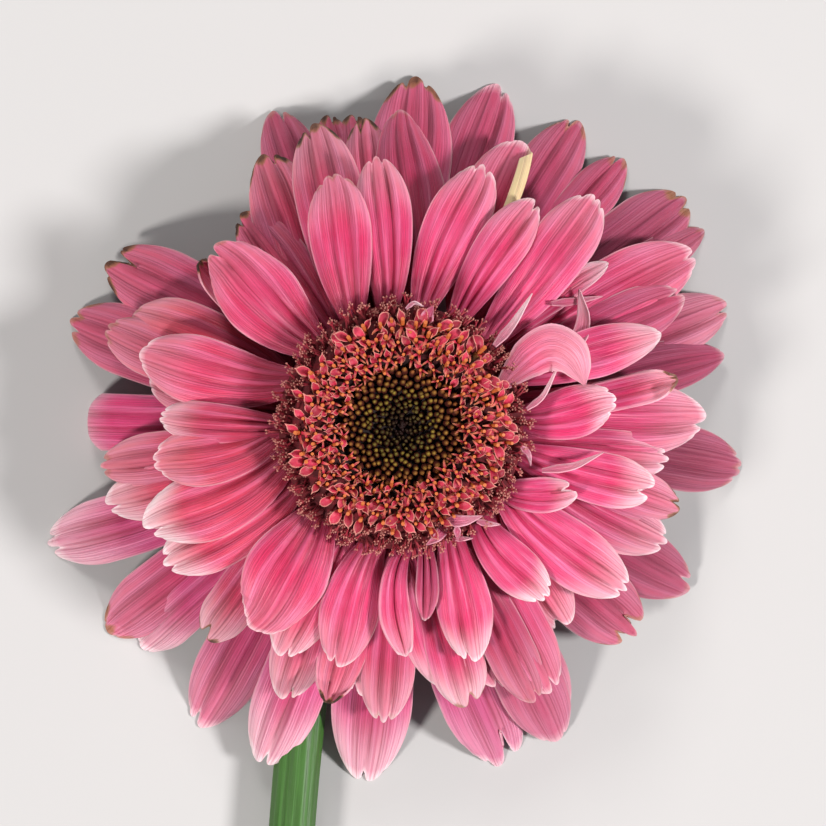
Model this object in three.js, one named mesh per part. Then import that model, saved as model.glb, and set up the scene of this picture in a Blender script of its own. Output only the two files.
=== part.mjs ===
// Cut gerbera lying on a table: the many-rowed head faces straight up, the neck bends under it
// and the stem runs along the table towards -Y.
// Millimetres, +Z up. The finished group is shifted so that the table is z = 0.
import * as THREE from "three";

// ---- Driving dimensions -------------------------------------------------------------------
const HEAD_DIA = 116; // across the outer petal tips
const DISC_DIA = 40.4; // across the ring of withered florets
const STEM_DIA = 7.6; // under the head
const STEM_BUTT_DIA = 8.4; // at the cut end
const OVERALL_LENGTH = 320; // from the cut end to the far petal tips
const NECK_RISE = 15.5; // from the table to the underside of the green cup
const CUP_HEIGHT = 8.5; // green cup, from the neck to its rim
const CUP_DIA = 32; // green cup, across its rim
const PETAL_THICKNESS = 0.75; // along the middle of a petal
const PETAL_EDGE = 0.5; // at the sides of a petal
const PETAL_ARCH = 0.8; // how far the middle of a petal stands above its sides
const CLEARANCE = 0.35; // air between any two pieces

// ---- Sizes that follow --------------------------------------------------------------------
const SPREAD = HEAD_DIA / 116;
const RIM_Z = NECK_RISE + CUP_HEIGHT;
const RECEPTACLE_TOP = RIM_Z + 2.2;
const PETAL_ROOT = CUP_DIA / 2 + 1; // where every petal starts, measured from the middle
const BUD_RADIUS = DISC_DIA * 0.23;
const FLORET_WALL = PETAL_ROOT - 1.4;
const FLORET_RADIUS = DISC_DIA * 0.42;

// How high the upper side of each row lies above the table, as [distance from the middle, share
// of the rim height]. The outer row sags until its tips rest on the table.
const SAG = {
  outer: [[14, 1.0], [20, 0.97], [28, 0.83], [36, 0.62], [44, 0.39], [51, 0.17], [57, 0.03], [64, 0.0]],
  middle: [[14, 1.1], [20, 1.11], [28, 1.04], [36, 0.9], [44, 0.69], [51, 0.46], [58, 0.3]],
  inner: [[14, 1.2], [20, 1.26], [28, 1.26], [36, 1.16], [44, 0.98], [51, 0.78]],
};

// Petals in the order in which they lie on each other, lowest first:
// [row, bearing it leaves the disc on, bearing of the tip, distance of the tip, width, lift of the tip].
// Bearings are in degrees anticlockwise from +X, as seen from above.
const PETALS = [
  ["outer", 76, 74, 58, 11.7, 0],
  ["outer", 40, 38.5, 59.6, 12, 0],
  ["outer", 205, 198, 60.6, 11, 0],
  ["outer", 232, 236, 59, 11.5, 0],
  ["outer", 281, 288, 57.8, 12.8, 0],
  ["outer", 328, 331, 54, 12, 0],
  ["outer", 354, 353, 56, 11, 0],
  ["outer", 148, 150.5, 55.4, 13, 1.5],
  ["outer", 88, 87.5, 57, 14, 0],
  ["outer", 61, 60, 57.8, 10.7, 0],
  ["outer", 19, 20.5, 56.8, 10.5, 0],
  ["outer", 247, 247.7, 59.5, 11.5, 0],
  ["outer", 214, 215, 58.9, 11, 0],
  ["outer", 264, 264, 58.4, 13.6, 0],
  ["outer", 316, 319, 51.5, 13, 2],
  ["outer", 299, 297.7, 55, 11.5, 1.5],
  ["outer", 112, 112, 56, 10, 1],
  ["outer", 181, 179, 49.8, 9.5, 3],
  ["middle", 97, 97, 50.3, 8, 0],
  ["middle", 84, 91.5, 50.8, 12, 1],
  ["middle", 118, 116.5, 49.3, 12, 0],
  ["middle", 69, 67, 50, 12, 0],
  ["middle", 34, 30.5, 55.2, 12, 0],
  ["middle", 334, 336.5, 46.7, 10, 0],
  ["middle", 0, 2, 49.2, 13, 0.5],
  ["middle", 310, 309.5, 42.3, 9.6, 0],
  ["middle", 291, 291.5, 45.1, 10, 0],
  ["middle", 261, 261.5, 43.8, 11.3, 0],
  ["middle", 246, 246.5, 48.2, 9.4, 0],
  ["middle", 226, 227.5, 47.6, 8, 0.5],
  ["middle", 196, 194.5, 49.4, 10, 0],
  ["middle", 153, 158.5, 47.5, 11, 2],
  ["middle", 108, 106, 51, 11.3, 0.5],
  ["middle", 300, 299.5, 49.4, 10, 1],
  ["middle", 281, 281.5, 43.4, 12, 0],
  ["inner", 46, 50, 48.3, 10.2, 0],
  ["inner", 80, 71, 43.6, 10, 0],
  ["inner", 320, 324.5, 44.5, 10.6, 0],
  ["inner", 241, 242.5, 41.4, 10.5, 0],
  ["inner", 216, 209, 43.7, 10, 0],
  ["inner", 92.5, 95.5, 43.3, 9.4, 0.5],
  ["inner", 22, 19.5, 44, 8.6, 1],
  ["inner", 343, 346.6, 42, 9, 0],
  ["inner", 251, 256, 39.4, 10, 0],
  ["inner", 292, 286.5, 39, 9.2, 0.5],
  ["inner", 169, 163, 43, 11.5, 0.5],
  ["inner", 64, 59, 41.9, 8.4, 1],
  ["inner", 111, 104, 41.5, 10.2, 1],
  ["inner", 208, 199.5, 43.7, 12, 0.5],
  ["inner", 229, 236, 39.5, 13.9, 1],
  ["inner", 358, 9.5, 34, 8.6, 1.5],
  ["inner", 303, 312, 35.5, 8, 1],
  ["inner", 260, 272, 36.2, 5.2, 2],
  ["inner", 195, 186.5, 39.6, 10, 1],
  ["inner", 141, 134.5, 41.3, 13.1, 1],
];

// Width of a petal along its length, as [share of its length, share of its width].
const OUTLINE = [[0, 0.22], [0.12, 0.42], [0.28, 0.72], [0.46, 0.93], [0.65, 1], [0.82, 0.92], [0.94, 0.68], [1, 0.34]];

// ---- Colours ------------------------------------------------------------------------------
const LOOKS = {
  outer: { color: 0xb85a7c, roughness: 0.6, metalness: 0 },
  middle: { color: 0xcf5c82, roughness: 0.58, metalness: 0 },
  inner: { color: 0xe06a90, roughness: 0.55, metalness: 0 },
  stem: { color: 0x4d8a34, roughness: 0.55, metalness: 0 },
  receptacle: { color: 0x3f6f2c, roughness: 0.65, metalness: 0 },
  buds: { color: 0x4a3a16, roughness: 0.75, metalness: 0 },
  florets: { color: 0xc23b3a, roughness: 0.7, metalness: 0 },
  withered: { color: 0x9b5a55, roughness: 0.8, metalness: 0 },
};

// ---- Small helpers ------------------------------------------------------------------------
const radians = THREE.MathUtils.degToRad;

function onBearing(degrees, distance) {
  const a = radians(degrees);
  return new THREE.Vector2(Math.cos(a) * distance, Math.sin(a) * distance);
}

// A value read from a list of [position, value] pairs, straight between them.
function along(pairs, position) {
  if (position <= pairs[0][0]) return pairs[0][1];
  for (let i = 1; i < pairs.length; i++) {
    const [x0, y0] = pairs[i - 1];
    const [x1, y1] = pairs[i];
    if (position <= x1) return y0 + ((y1 - y0) * (position - x0)) / (x1 - x0);
  }
  return pairs[pairs.length - 1][1];
}

function geometryOf(points, faces) {
  const flat = points.flatMap((p) => [p.x, p.y, p.z]);
  const geometry = new THREE.BufferGeometry();
  geometry.setAttribute("position", new THREE.Float32BufferAttribute(flat, 3));
  geometry.setIndex(faces.flat());
  geometry.computeVertexNormals();
  return geometry;
}

// A closed skin over rings of equally many points, each ring anticlockwise as seen from the next.
function skin(rings) {
  const count = rings[0].length;
  const faces = [];
  for (let j = 0; j + 1 < rings.length; j++) {
    for (let i = 0; i < count; i++) {
      const a = j * count + i;
      const b = j * count + ((i + 1) % count);
      faces.push([a, b, b + count], [a, b + count, a + count]);
    }
  }
  const last = (rings.length - 1) * count;
  for (let i = 1; i + 1 < count; i++) {
    faces.push([0, i + 1, i], [last, last + i, last + i + 1]);
  }
  return geometryOf(rings.flat(), faces);
}

// A profile of [radius, height] turned about the Z axis. It runs anticlockwise with the radius to
// the right and the height up. It either closes on itself or starts and ends on the axis.
function turned(profile, segments) {
  const points = [];
  const starts = profile.map(([radius, height]) => {
    const start = points.length;
    const copies = radius === 0 ? 1 : segments;
    for (let i = 0; i < copies; i++) {
      const a = (2 * Math.PI * i) / segments;
      points.push(new THREE.Vector3(radius * Math.cos(a), radius * Math.sin(a), height));
    }
    return { start, copies };
  });
  const closes = profile[0][0] !== 0;
  const faces = [];
  const steps = closes ? profile.length : profile.length - 1;
  for (let j = 0; j < steps; j++) {
    const low = starts[j];
    const high = starts[(j + 1) % profile.length];
    for (let i = 0; i < segments; i++) {
      const a = low.start + (i % low.copies);
      const b = low.start + ((i + 1) % low.copies);
      const c = high.start + ((i + 1) % high.copies);
      const d = high.start + (i % high.copies);
      if (a !== b) faces.push([a, b, c]);
      if (c !== d) faces.push([a, c, d]);
    }
  }
  return geometryOf(points, faces);
}

// ---- Laying the petals on each other ------------------------------------------------------
// The height of everything laid so far, on a square grid over the head.
class Pile {
  constructor(halfWidth, cell, floor) {
    this.half = halfWidth;
    this.cell = cell;
    this.count = Math.ceil((2 * halfWidth) / cell);
    this.heights = new Float32Array(this.count * this.count).fill(floor);
  }

  index(value) {
    return Math.min(this.count - 1, Math.max(0, Math.floor((value + this.half) / this.cell)));
  }

  // The highest point near a place.
  top(x, y) {
    const column = this.index(x);
    const row = this.index(y);
    let highest = -Infinity;
    for (let r = Math.max(0, row - 1); r <= Math.min(this.count - 1, row + 1); r++) {
      for (let c = Math.max(0, column - 1); c <= Math.min(this.count - 1, column + 1); c++) {
        highest = Math.max(highest, this.heights[r * this.count + c]);
      }
    }
    return highest;
  }

  // Adds the upper side of a closed shape.
  add(geometry) {
    const position = geometry.getAttribute("position");
    const index = geometry.index.array;
    const corner = [0, 1, 2].map(() => new THREE.Vector3());
    for (let f = 0; f < index.length; f += 3) {
      corner.forEach((p, i) => p.fromBufferAttribute(position, index[f + i]));
      const [a, b, c] = corner;
      const area = (b.x - a.x) * (c.y - a.y) - (c.x - a.x) * (b.y - a.y);
      if (area <= 1e-9) continue;
      const xs = corner.map((p) => p.x);
      const ys = corner.map((p) => p.y);
      const lastRow = this.index(Math.max(...ys));
      const lastColumn = this.index(Math.max(...xs));
      for (let row = this.index(Math.min(...ys)); row <= lastRow; row++) {
        const y = (row + 0.5) * this.cell - this.half;
        for (let column = this.index(Math.min(...xs)); column <= lastColumn; column++) {
          const x = (column + 0.5) * this.cell - this.half;
          const u = ((b.x - x) * (c.y - y) - (c.x - x) * (b.y - y)) / area;
          const v = ((c.x - x) * (a.y - y) - (a.x - x) * (c.y - y)) / area;
          const w = 1 - u - v;
          if (u < -0.02 || v < -0.02 || w < -0.02) continue;
          const height = u * a.z + v * b.z + w * c.z;
          const at = row * this.count + column;
          this.heights[at] = Math.max(this.heights[at], height);
        }
      }
    }
  }

  // The highest point in a band around the middle.
  highestBetween(inner, outer) {
    let highest = 0;
    for (let row = 0; row < this.count; row++) {
      for (let column = 0; column < this.count; column++) {
        const x = (column + 0.5) * this.cell - this.half;
        const y = (row + 0.5) * this.cell - this.half;
        const distance = Math.hypot(x, y);
        if (distance < inner || distance > outer) continue;
        highest = Math.max(highest, this.heights[row * this.count + column]);
      }
    }
    return highest;
  }
}

// The roots of a row stand evenly round the cup, as close as that allows to where each petal heads.
function evenRoots(row) {
  const members = PETALS.filter((entry) => entry[0] === row).sort((a, b) => a[1] - b[1]);
  const step = 360 / members.length;
  const offsets = members.map((entry, i) => entry[1] - i * step);
  const start = offsets.reduce((sum, offset) => sum + offset, 0) / members.length;
  return new Map(members.map((entry, i) => [entry, start + i * step]));
}

// Places across a petal, from its middle outwards, so that it lifts before it rolls, and along it
// between two stations, ends first, so that neither is raised for the other.
const SIDES = [0, -0.25, 0.25, -0.5, 0.5, -0.75, 0.75, -1, 1];
const SHARES = [0, 1, 0.5, 0.25, 0.75];

// One petal: a thin arched blade whose left and right sides are raised until it clears the pile.
class Petal {
  constructor([row, heading, tipBearing, reach, width, lift], rootBearing) {
    const root = onBearing(rootBearing, PETAL_ROOT);
    const tip = onBearing(tipBearing, reach * SPREAD);
    const bend = onBearing(heading, PETAL_ROOT + 0.4 * (reach * SPREAD - PETAL_ROOT));
    const curve = new THREE.QuadraticBezierCurve(root, bend, tip);
    this.stations = OUTLINE.map(([share, widthShare]) => {
      const middle = curve.getPoint(share);
      const across = curve.getTangent(share);
      across.set(-across.y, across.x).multiplyScalar((widthShare * width * SPREAD) / 2);
      const sag = RIM_Z * along(SAG[row], middle.length() / SPREAD);
      const height = sag + lift * share * share;
      return { middle, across, left: height, right: height, arch: PETAL_ARCH * widthShare };
    });
  }

  // A place on the underside: share runs between two stations, side from -1 (right) to 1 (left).
  place(j, share, side) {
    const a = this.stations[j];
    const b = this.stations[j + 1];
    const height = (s) => {
      const edge = side > 0 ? s.left : s.right;
      const crown = (s.left + s.right) / 2 + s.arch;
      return crown + (edge - crown) * Math.abs(side);
    };
    const thickness = PETAL_THICKNESS + (PETAL_EDGE - PETAL_THICKNESS) * Math.abs(side);
    return {
      x: THREE.MathUtils.lerp(a.middle.x + a.across.x * side, b.middle.x + b.across.x * side, share),
      y: THREE.MathUtils.lerp(a.middle.y + a.across.y * side, b.middle.y + b.across.y * side, share),
      under: THREE.MathUtils.lerp(height(a), height(b), share) - thickness,
    };
  }

  // Raises the sides, each by as little as clears the pile, until nothing touches.
  rest(pile) {
    for (let pass = 0; pass < 40; pass++) {
      let deepest = 0;
      for (let j = 0; j + 1 < this.stations.length; j++) {
        for (const share of SHARES) {
          for (const side of SIDES) {
            deepest = Math.max(deepest, this.raise(pile, j, share, side));
          }
        }
      }
      this.ease();
      if (deepest < 0.02) break;
    }
  }

  raise(pile, j, share, side) {
    const { x, y, under } = this.place(j, share, side);
    const short = pile.top(x, y) + CLEARANCE - under;
    if (short <= 0) return 0;
    const left = (1 + side) / 2;
    const right = (1 - side) / 2;
    const norm = (left * left + right * right) * (share * share + (1 - share) * (1 - share));
    const near = this.stations[j];
    const far = this.stations[j + 1];
    near.left += (short * left * (1 - share)) / norm;
    near.right += (short * right * (1 - share)) / norm;
    far.left += (short * left * share) / norm;
    far.right += (short * right * share) / norm;
    return short;
  }

  // Fills hollows along each side and keeps the blade from rolling over. It only ever raises.
  ease() {
    const list = this.stations;
    for (const side of ["left", "right"]) {
      for (let j = 2; j + 1 < list.length; j++) {
        const level = (list[j - 1][side] + list[j + 1][side]) / 2 - 0.8;
        list[j][side] = Math.max(list[j][side], level);
      }
    }
    for (const s of list) {
      const most = 0.9 * s.across.length();
      s.left = Math.max(s.left, s.right - most);
      s.right = Math.max(s.right, s.left - most);
    }
  }

  geometry() {
    const rings = this.stations.map(({ middle, across, left, right, arch }) => {
      const crown = (left + right) / 2 + arch;
      const at = (side, z) => new THREE.Vector3(middle.x + across.x * side, middle.y + across.y * side, z);
      return [
        at(1, left),
        at(0, crown),
        at(-1, right),
        at(-1, right - PETAL_EDGE),
        at(0, crown - PETAL_THICKNESS),
        at(1, left - PETAL_EDGE),
      ];
    });
    return skin(rings);
  }
}

// ---- Stem ---------------------------------------------------------------------------------
const stemRadius = STEM_DIA / 2;
const buttRadius = STEM_BUTT_DIA / 2;
const buttY = HEAD_DIA / 2 + 0.5 - OVERALL_LENGTH;
const stemLine = new THREE.CatmullRomCurve3(
  [
    new THREE.Vector3(0, 0, NECK_RISE - CLEARANCE),
    new THREE.Vector3(0, 0, NECK_RISE - CLEARANCE - 1),
    new THREE.Vector3(-0.3, -0.7, NECK_RISE - 4.4),
    new THREE.Vector3(-3.2, -4.8, stemRadius + 3.6),
    new THREE.Vector3(-8.8, -13.5, stemRadius + 0.7),
    new THREE.Vector3(-13.4, -28, stemRadius),
    new THREE.Vector3(-16.6, -52, stemRadius),
    new THREE.Vector3(-19.6, -95, stemRadius + 0.05),
    new THREE.Vector3(-21.6, (buttY - 95) / 2, (stemRadius + buttRadius) / 2),
    new THREE.Vector3(-20.2, buttY, buttRadius),
  ],
  false,
  "centripetal",
);

function stemGeometry() {
  const sides = 12;
  const shares = [0, 0.012, 0.03, 0.05, 0.07, 0.09, 0.115, 0.145, 0.18, 0.23, 0.3, 0.4, 0.5, 0.6, 0.7, 0.8, 0.9, 1];
  const rings = shares.map((share) => {
    const middle = stemLine.getPointAt(share);
    const forward = share === 0 ? new THREE.Vector3(0, 0, -1) : stemLine.getTangentAt(share);
    const side = new THREE.Vector3(1, -0.35, 0).cross(forward).normalize();
    const other = new THREE.Vector3().crossVectors(forward, side).normalize();
    const radius = THREE.MathUtils.lerp(stemRadius, buttRadius, share);
    return Array.from({ length: sides }, (_, i) => {
      const a = (2 * Math.PI * i) / sides;
      const point = middle.clone();
      point.addScaledVector(side, radius * Math.cos(a));
      point.addScaledVector(other, radius * Math.sin(a));
      if (share === 1) point.y += 0.45 * (point.x - middle.x); // cut on a slant
      return point;
    });
  });
  return skin(rings);
}

// ---- Receptacle ---------------------------------------------------------------------------
// The stem widens into the green cup that carries every floret. The cup is grown solid.
function receptacleGeometry() {
  const rim = CUP_DIA / 2;
  const profile = [
    [0, NECK_RISE],
    [stemRadius + 0.5, NECK_RISE],
    [rim * 0.55, NECK_RISE + CUP_HEIGHT * 0.22],
    [rim * 0.86, NECK_RISE + CUP_HEIGHT * 0.6],
    [rim, RIM_Z],
    [rim - 0.5, RIM_Z + 0.6],
    [rim - 0.5, RECEPTACLE_TOP - 0.5],
    [rim - 1.4, RECEPTACLE_TOP],
    [0, RECEPTACLE_TOP],
  ];
  return turned(profile, 28);
}

// ---- Disc ---------------------------------------------------------------------------------
function budGeometry() {
  const base = RECEPTACLE_TOP + CLEARANCE;
  const profile = [
    [0, base],
    [BUD_RADIUS, base],
    [BUD_RADIUS, base + 7.6],
    [BUD_RADIUS * 0.86, base + 8],
    [BUD_RADIUS * 0.55, base + 6.9],
    [BUD_RADIUS * 0.28, base + 5],
    [0, base + 4],
  ];
  return turned(profile, 24);
}

function floretGeometry(bed) {
  const base = RECEPTACLE_TOP + CLEARANCE;
  const inner = BUD_RADIUS + CLEARANCE;
  const profile = [
    [inner, base],
    [FLORET_WALL, base],
    [FLORET_WALL, bed],
    [FLORET_RADIUS - 0.4, bed + 0.6],
    [FLORET_RADIUS, bed + 2],
    [FLORET_RADIUS - 1.6, bed + 4.4],
    [(inner + FLORET_RADIUS) / 2, bed + 4.7],
    [inner + 0.5, base + 9],
    [inner, base + 8],
  ];
  return turned(profile, 32);
}

function witheredGeometry(bed) {
  const inner = FLORET_RADIUS + CLEARANCE;
  const outer = DISC_DIA / 2;
  const profile = [
    [inner, bed + 0.4],
    [outer - 0.6, bed],
    [outer, bed + 0.8],
    [outer - 0.9, bed + 2.6],
    [inner + 0.5, bed + 3.8],
    [inner, bed + 2.2],
  ];
  return turned(profile, 32);
}

// ---- Assembly -----------------------------------------------------------------------------
const group = new THREE.Group();
group.name = "cut_gerbera";

function addPiece(name, look, geometry) {
  const piece = new THREE.Mesh(geometry, new THREE.MeshStandardMaterial(LOOKS[look]));
  piece.name = name;
  group.add(piece);
}

const stem = stemGeometry();
const receptacle = receptacleGeometry();
addPiece("stem", "stem", stem);
addPiece("receptacle", "receptacle", receptacle);

const pile = new Pile(HEAD_DIA * 0.6, 0.35, -CLEARANCE);
pile.add(stem);
pile.add(receptacle);

const roots = new Map(Object.keys(SAG).flatMap((row) => [...evenRoots(row)]));
const numbers = {};
for (const entry of PETALS) {
  const petal = new Petal(entry, roots.get(entry));
  petal.rest(pile);
  const geometry = petal.geometry();
  pile.add(geometry);
  const row = entry[0];
  numbers[row] = (numbers[row] ?? 0) + 1;
  addPiece(`petal_${row}_${String(numbers[row]).padStart(2, "0")}`, row, geometry);
}

const bed = pile.highestBetween(PETAL_ROOT - 1, DISC_DIA / 2 + 0.5) + CLEARANCE;
addPiece("bud_disc", "buds", budGeometry());
addPiece("floret_ring", "florets", floretGeometry(bed));
addPiece("withered_ring", "withered", witheredGeometry(bed));

// Puts the origin on the table, under the middle of the bounding box.
const box = new THREE.Box3().setFromObject(group);
const centre = box.getCenter(new THREE.Vector3());
for (const piece of group.children) {
  piece.geometry.translate(-centre.x, -centre.y, -box.min.z);
}

export default group;
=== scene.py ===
"""A cut gerbera lying face up on a pale table.

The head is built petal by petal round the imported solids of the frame: every solid petal is
measured and replaced by a thin veined blade with its own tip, grooves and tint. Small petals,
slivers, bracts, buds and florets that have no solid of their own ride with them.
"""

import logging
import math
from dataclasses import dataclass
from enum import Enum
from random import Random
from typing import Any, Iterable, Optional, Sequence, Union

import bpy
import numpy as np
from mathutils import Matrix, Vector
from mathutils.bvhtree import BVHTree


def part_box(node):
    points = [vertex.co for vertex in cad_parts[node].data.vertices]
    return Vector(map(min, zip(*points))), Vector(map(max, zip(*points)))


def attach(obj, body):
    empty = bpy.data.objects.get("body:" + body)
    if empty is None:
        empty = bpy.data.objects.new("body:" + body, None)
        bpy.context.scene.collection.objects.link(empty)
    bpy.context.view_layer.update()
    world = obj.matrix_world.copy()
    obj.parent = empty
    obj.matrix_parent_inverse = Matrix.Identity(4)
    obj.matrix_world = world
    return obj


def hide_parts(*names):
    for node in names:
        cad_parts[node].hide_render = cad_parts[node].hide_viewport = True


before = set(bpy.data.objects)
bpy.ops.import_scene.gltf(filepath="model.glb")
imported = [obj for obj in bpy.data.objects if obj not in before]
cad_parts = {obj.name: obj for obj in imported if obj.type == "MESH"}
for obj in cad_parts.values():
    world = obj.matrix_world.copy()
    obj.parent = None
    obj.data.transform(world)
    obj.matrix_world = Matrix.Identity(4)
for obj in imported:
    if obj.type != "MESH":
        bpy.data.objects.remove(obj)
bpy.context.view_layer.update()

log = logging.getLogger("gerbera")
MM = 0.001
Colour = tuple[float, float, float]
ROWS = ("outer", "middle", "inner")

# Extra petals, in millimetres: how far they stay off what lies below and above, how much their
# sides hang below the middle, and how far the disc reaches.
GAP_BELOW = 0.75
GAP_ABOVE = 0.45
ARCH = 0.5
DISC_REACH = 20.5


def colour(code: int) -> Colour:
    """Turns a written colour into linear light.

    Args:
        code: The colour as 0xRRGGBB.

    Returns:
        Red, green and blue from 0 to 1, linear.
    """
    parts = [((code >> shift) & 255) / 255 for shift in (16, 8, 0)]
    return tuple(p / 12.92 if p <= 0.04045 else ((p + 0.055) / 1.055) ** 2.4 for p in parts)


def smooth(x: Any) -> Any:
    """Eases a value or an array from 0 to 1."""
    x = np.clip(x, 0.0, 1.0)
    return x * x * (3 - 2 * x)


# ---- Shader writing ------------------------------------------------------------------------


class Val:
    """One output of a shader node, on which sums can be written as in Python."""

    def __init__(self, tree: "Shader", socket: Any) -> None:
        """Keeps the tree that the socket belongs to, and the socket."""
        self.tree = tree
        self.socket = socket

    def _math(self, operation: str, *values: Any) -> "Val":
        """Adds a Math node.

        Args:
            operation: The node's operation.
            values: Its inputs, in order.

        Returns:
            The node's output.
        """
        inputs = dict(enumerate(values))
        return self.tree.node("ShaderNodeMath", {"operation": operation}, inputs)

    def __add__(self, other: Any) -> "Val":
        """self + other."""
        return self._math("ADD", self, other)

    __radd__ = __add__

    def __mul__(self, other: Any) -> "Val":
        """self * other."""
        return self._math("MULTIPLY", self, other)

    __rmul__ = __mul__

    def __sub__(self, other: Any) -> "Val":
        """self - other."""
        return self._math("SUBTRACT", self, other)

    def __rsub__(self, other: Any) -> "Val":
        """other - self."""
        return self._math("SUBTRACT", other, self)

    def between(self, low: float, high: float) -> "Val":
        """Maps low..high to an eased 0..1.

        Args:
            low: The value that becomes 0.
            high: The value that becomes 1.

        Returns:
            The mapped value.
        """
        settings = {"interpolation_type": "SMOOTHSTEP"}
        inputs = {"Value": self, "From Min": low, "From Max": high}
        return self.tree.node("ShaderNodeMapRange", settings, inputs)


class Shader:
    """A material whose nodes are written as expressions."""

    def __init__(self, name: str) -> None:
        """Makes an empty material with one Principled surface.

        Args:
            name: The material's name.
        """
        self.material = bpy.data.materials.new(name)
        self.material.use_nodes = True
        self.nodes = self.material.node_tree.nodes
        self.links = self.material.node_tree.links
        self.surface = next(n for n in self.nodes if n.type == "BSDF_PRINCIPLED")

    def node(self, kind: str, settings: Optional[dict] = None, inputs: Optional[dict] = None,
             output: Union[int, str] = 0) -> Val:
        """Adds any node.

        Args:
            kind: The node's type.
            settings: Properties, set first.
            inputs: Values or links, by the socket's name or number.
            output: Which output is wanted.

        Returns:
            That output.
        """
        made = self.nodes.new(kind)
        for key, value in (settings or {}).items():
            setattr(made, key, value)
        for key, value in (inputs or {}).items():
            self.feed(made.inputs[key], value)
        return Val(self, made.outputs[output])

    def feed(self, socket: Any, value: Any) -> None:
        """Links a value to a socket or sets it.

        Args:
            socket: The input.
            value: A Val to link, or a number, colour or vector to set.
        """
        if isinstance(value, Val):
            self.links.new(value.socket, socket)
        elif socket.type == "RGBA" and len(value) == 3:
            socket.default_value = (*value, 1.0)
        else:
            socket.default_value = value

    def mix(self, share: Any, low: Any, high: Any) -> Val:
        """Mixes two colours.

        Args:
            share: How much of high, 0 to 1.
            low: The first colour.
            high: The second colour.

        Returns:
            The mixed colour.
        """
        made = self.nodes.new("ShaderNodeMix")
        made.data_type = "RGBA"
        self.feed(made.inputs[0], share)
        self.feed(made.inputs[6], low)
        self.feed(made.inputs[7], high)
        return Val(self, made.outputs[2])

    def attribute(self, name: str) -> Val:
        """Reads a number stored on the mesh's points."""
        return self.node("ShaderNodeAttribute", {"attribute_name": name}, output="Fac")

    def object_noise(self, scale: float, detail: float = 2.0) -> Val:
        """Noise in the object's own space.

        Args:
            scale: How fine, in cells per metre.
            detail: How many octaves.

        Returns:
            The noise, near 0.5.
        """
        place = self.node("ShaderNodeTexCoord", output="Object")
        inputs = {"Vector": place, "Scale": scale, "Detail": detail}
        return self.node("ShaderNodeTexNoise", inputs=inputs)

    def streaks(self, across: float, along: float, detail: float = 2.0) -> Val:
        """Noise drawn out along the UV map's second axis.

        Args:
            across: Streaks across the map.
            along: Changes along the map.
            detail: How many octaves.

        Returns:
            The noise, near 0.5.
        """
        uv = self.node("ShaderNodeUVMap", {"uv_map": "UVMap"})
        wide = self.node("ShaderNodeMapping", inputs={"Vector": uv, "Scale": (across, along, 1.0)})
        settings = {"noise_dimensions": "2D"}
        inputs = {"Vector": wide, "Scale": 1.0, "Detail": detail}
        return self.node("ShaderNodeTexNoise", settings, inputs)

    def bump(self, height: Any, distance: float, strength: float = 1.0) -> None:
        """Feeds a height to the surface's normal.

        Args:
            height: The height, 0 to 1.
            distance: What 1 stands for, in metres.
            strength: How much of it counts.
        """
        inputs = {"Height": height, "Distance": distance, "Strength": strength}
        self.set(Normal=self.node("ShaderNodeBump", inputs=inputs))

    def set(self, **values: Any) -> None:
        """Sets or links inputs of the surface, with _ for a space."""
        for key, value in values.items():
            self.feed(self.surface.inputs[key.replace("_", " ")], value)


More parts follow.
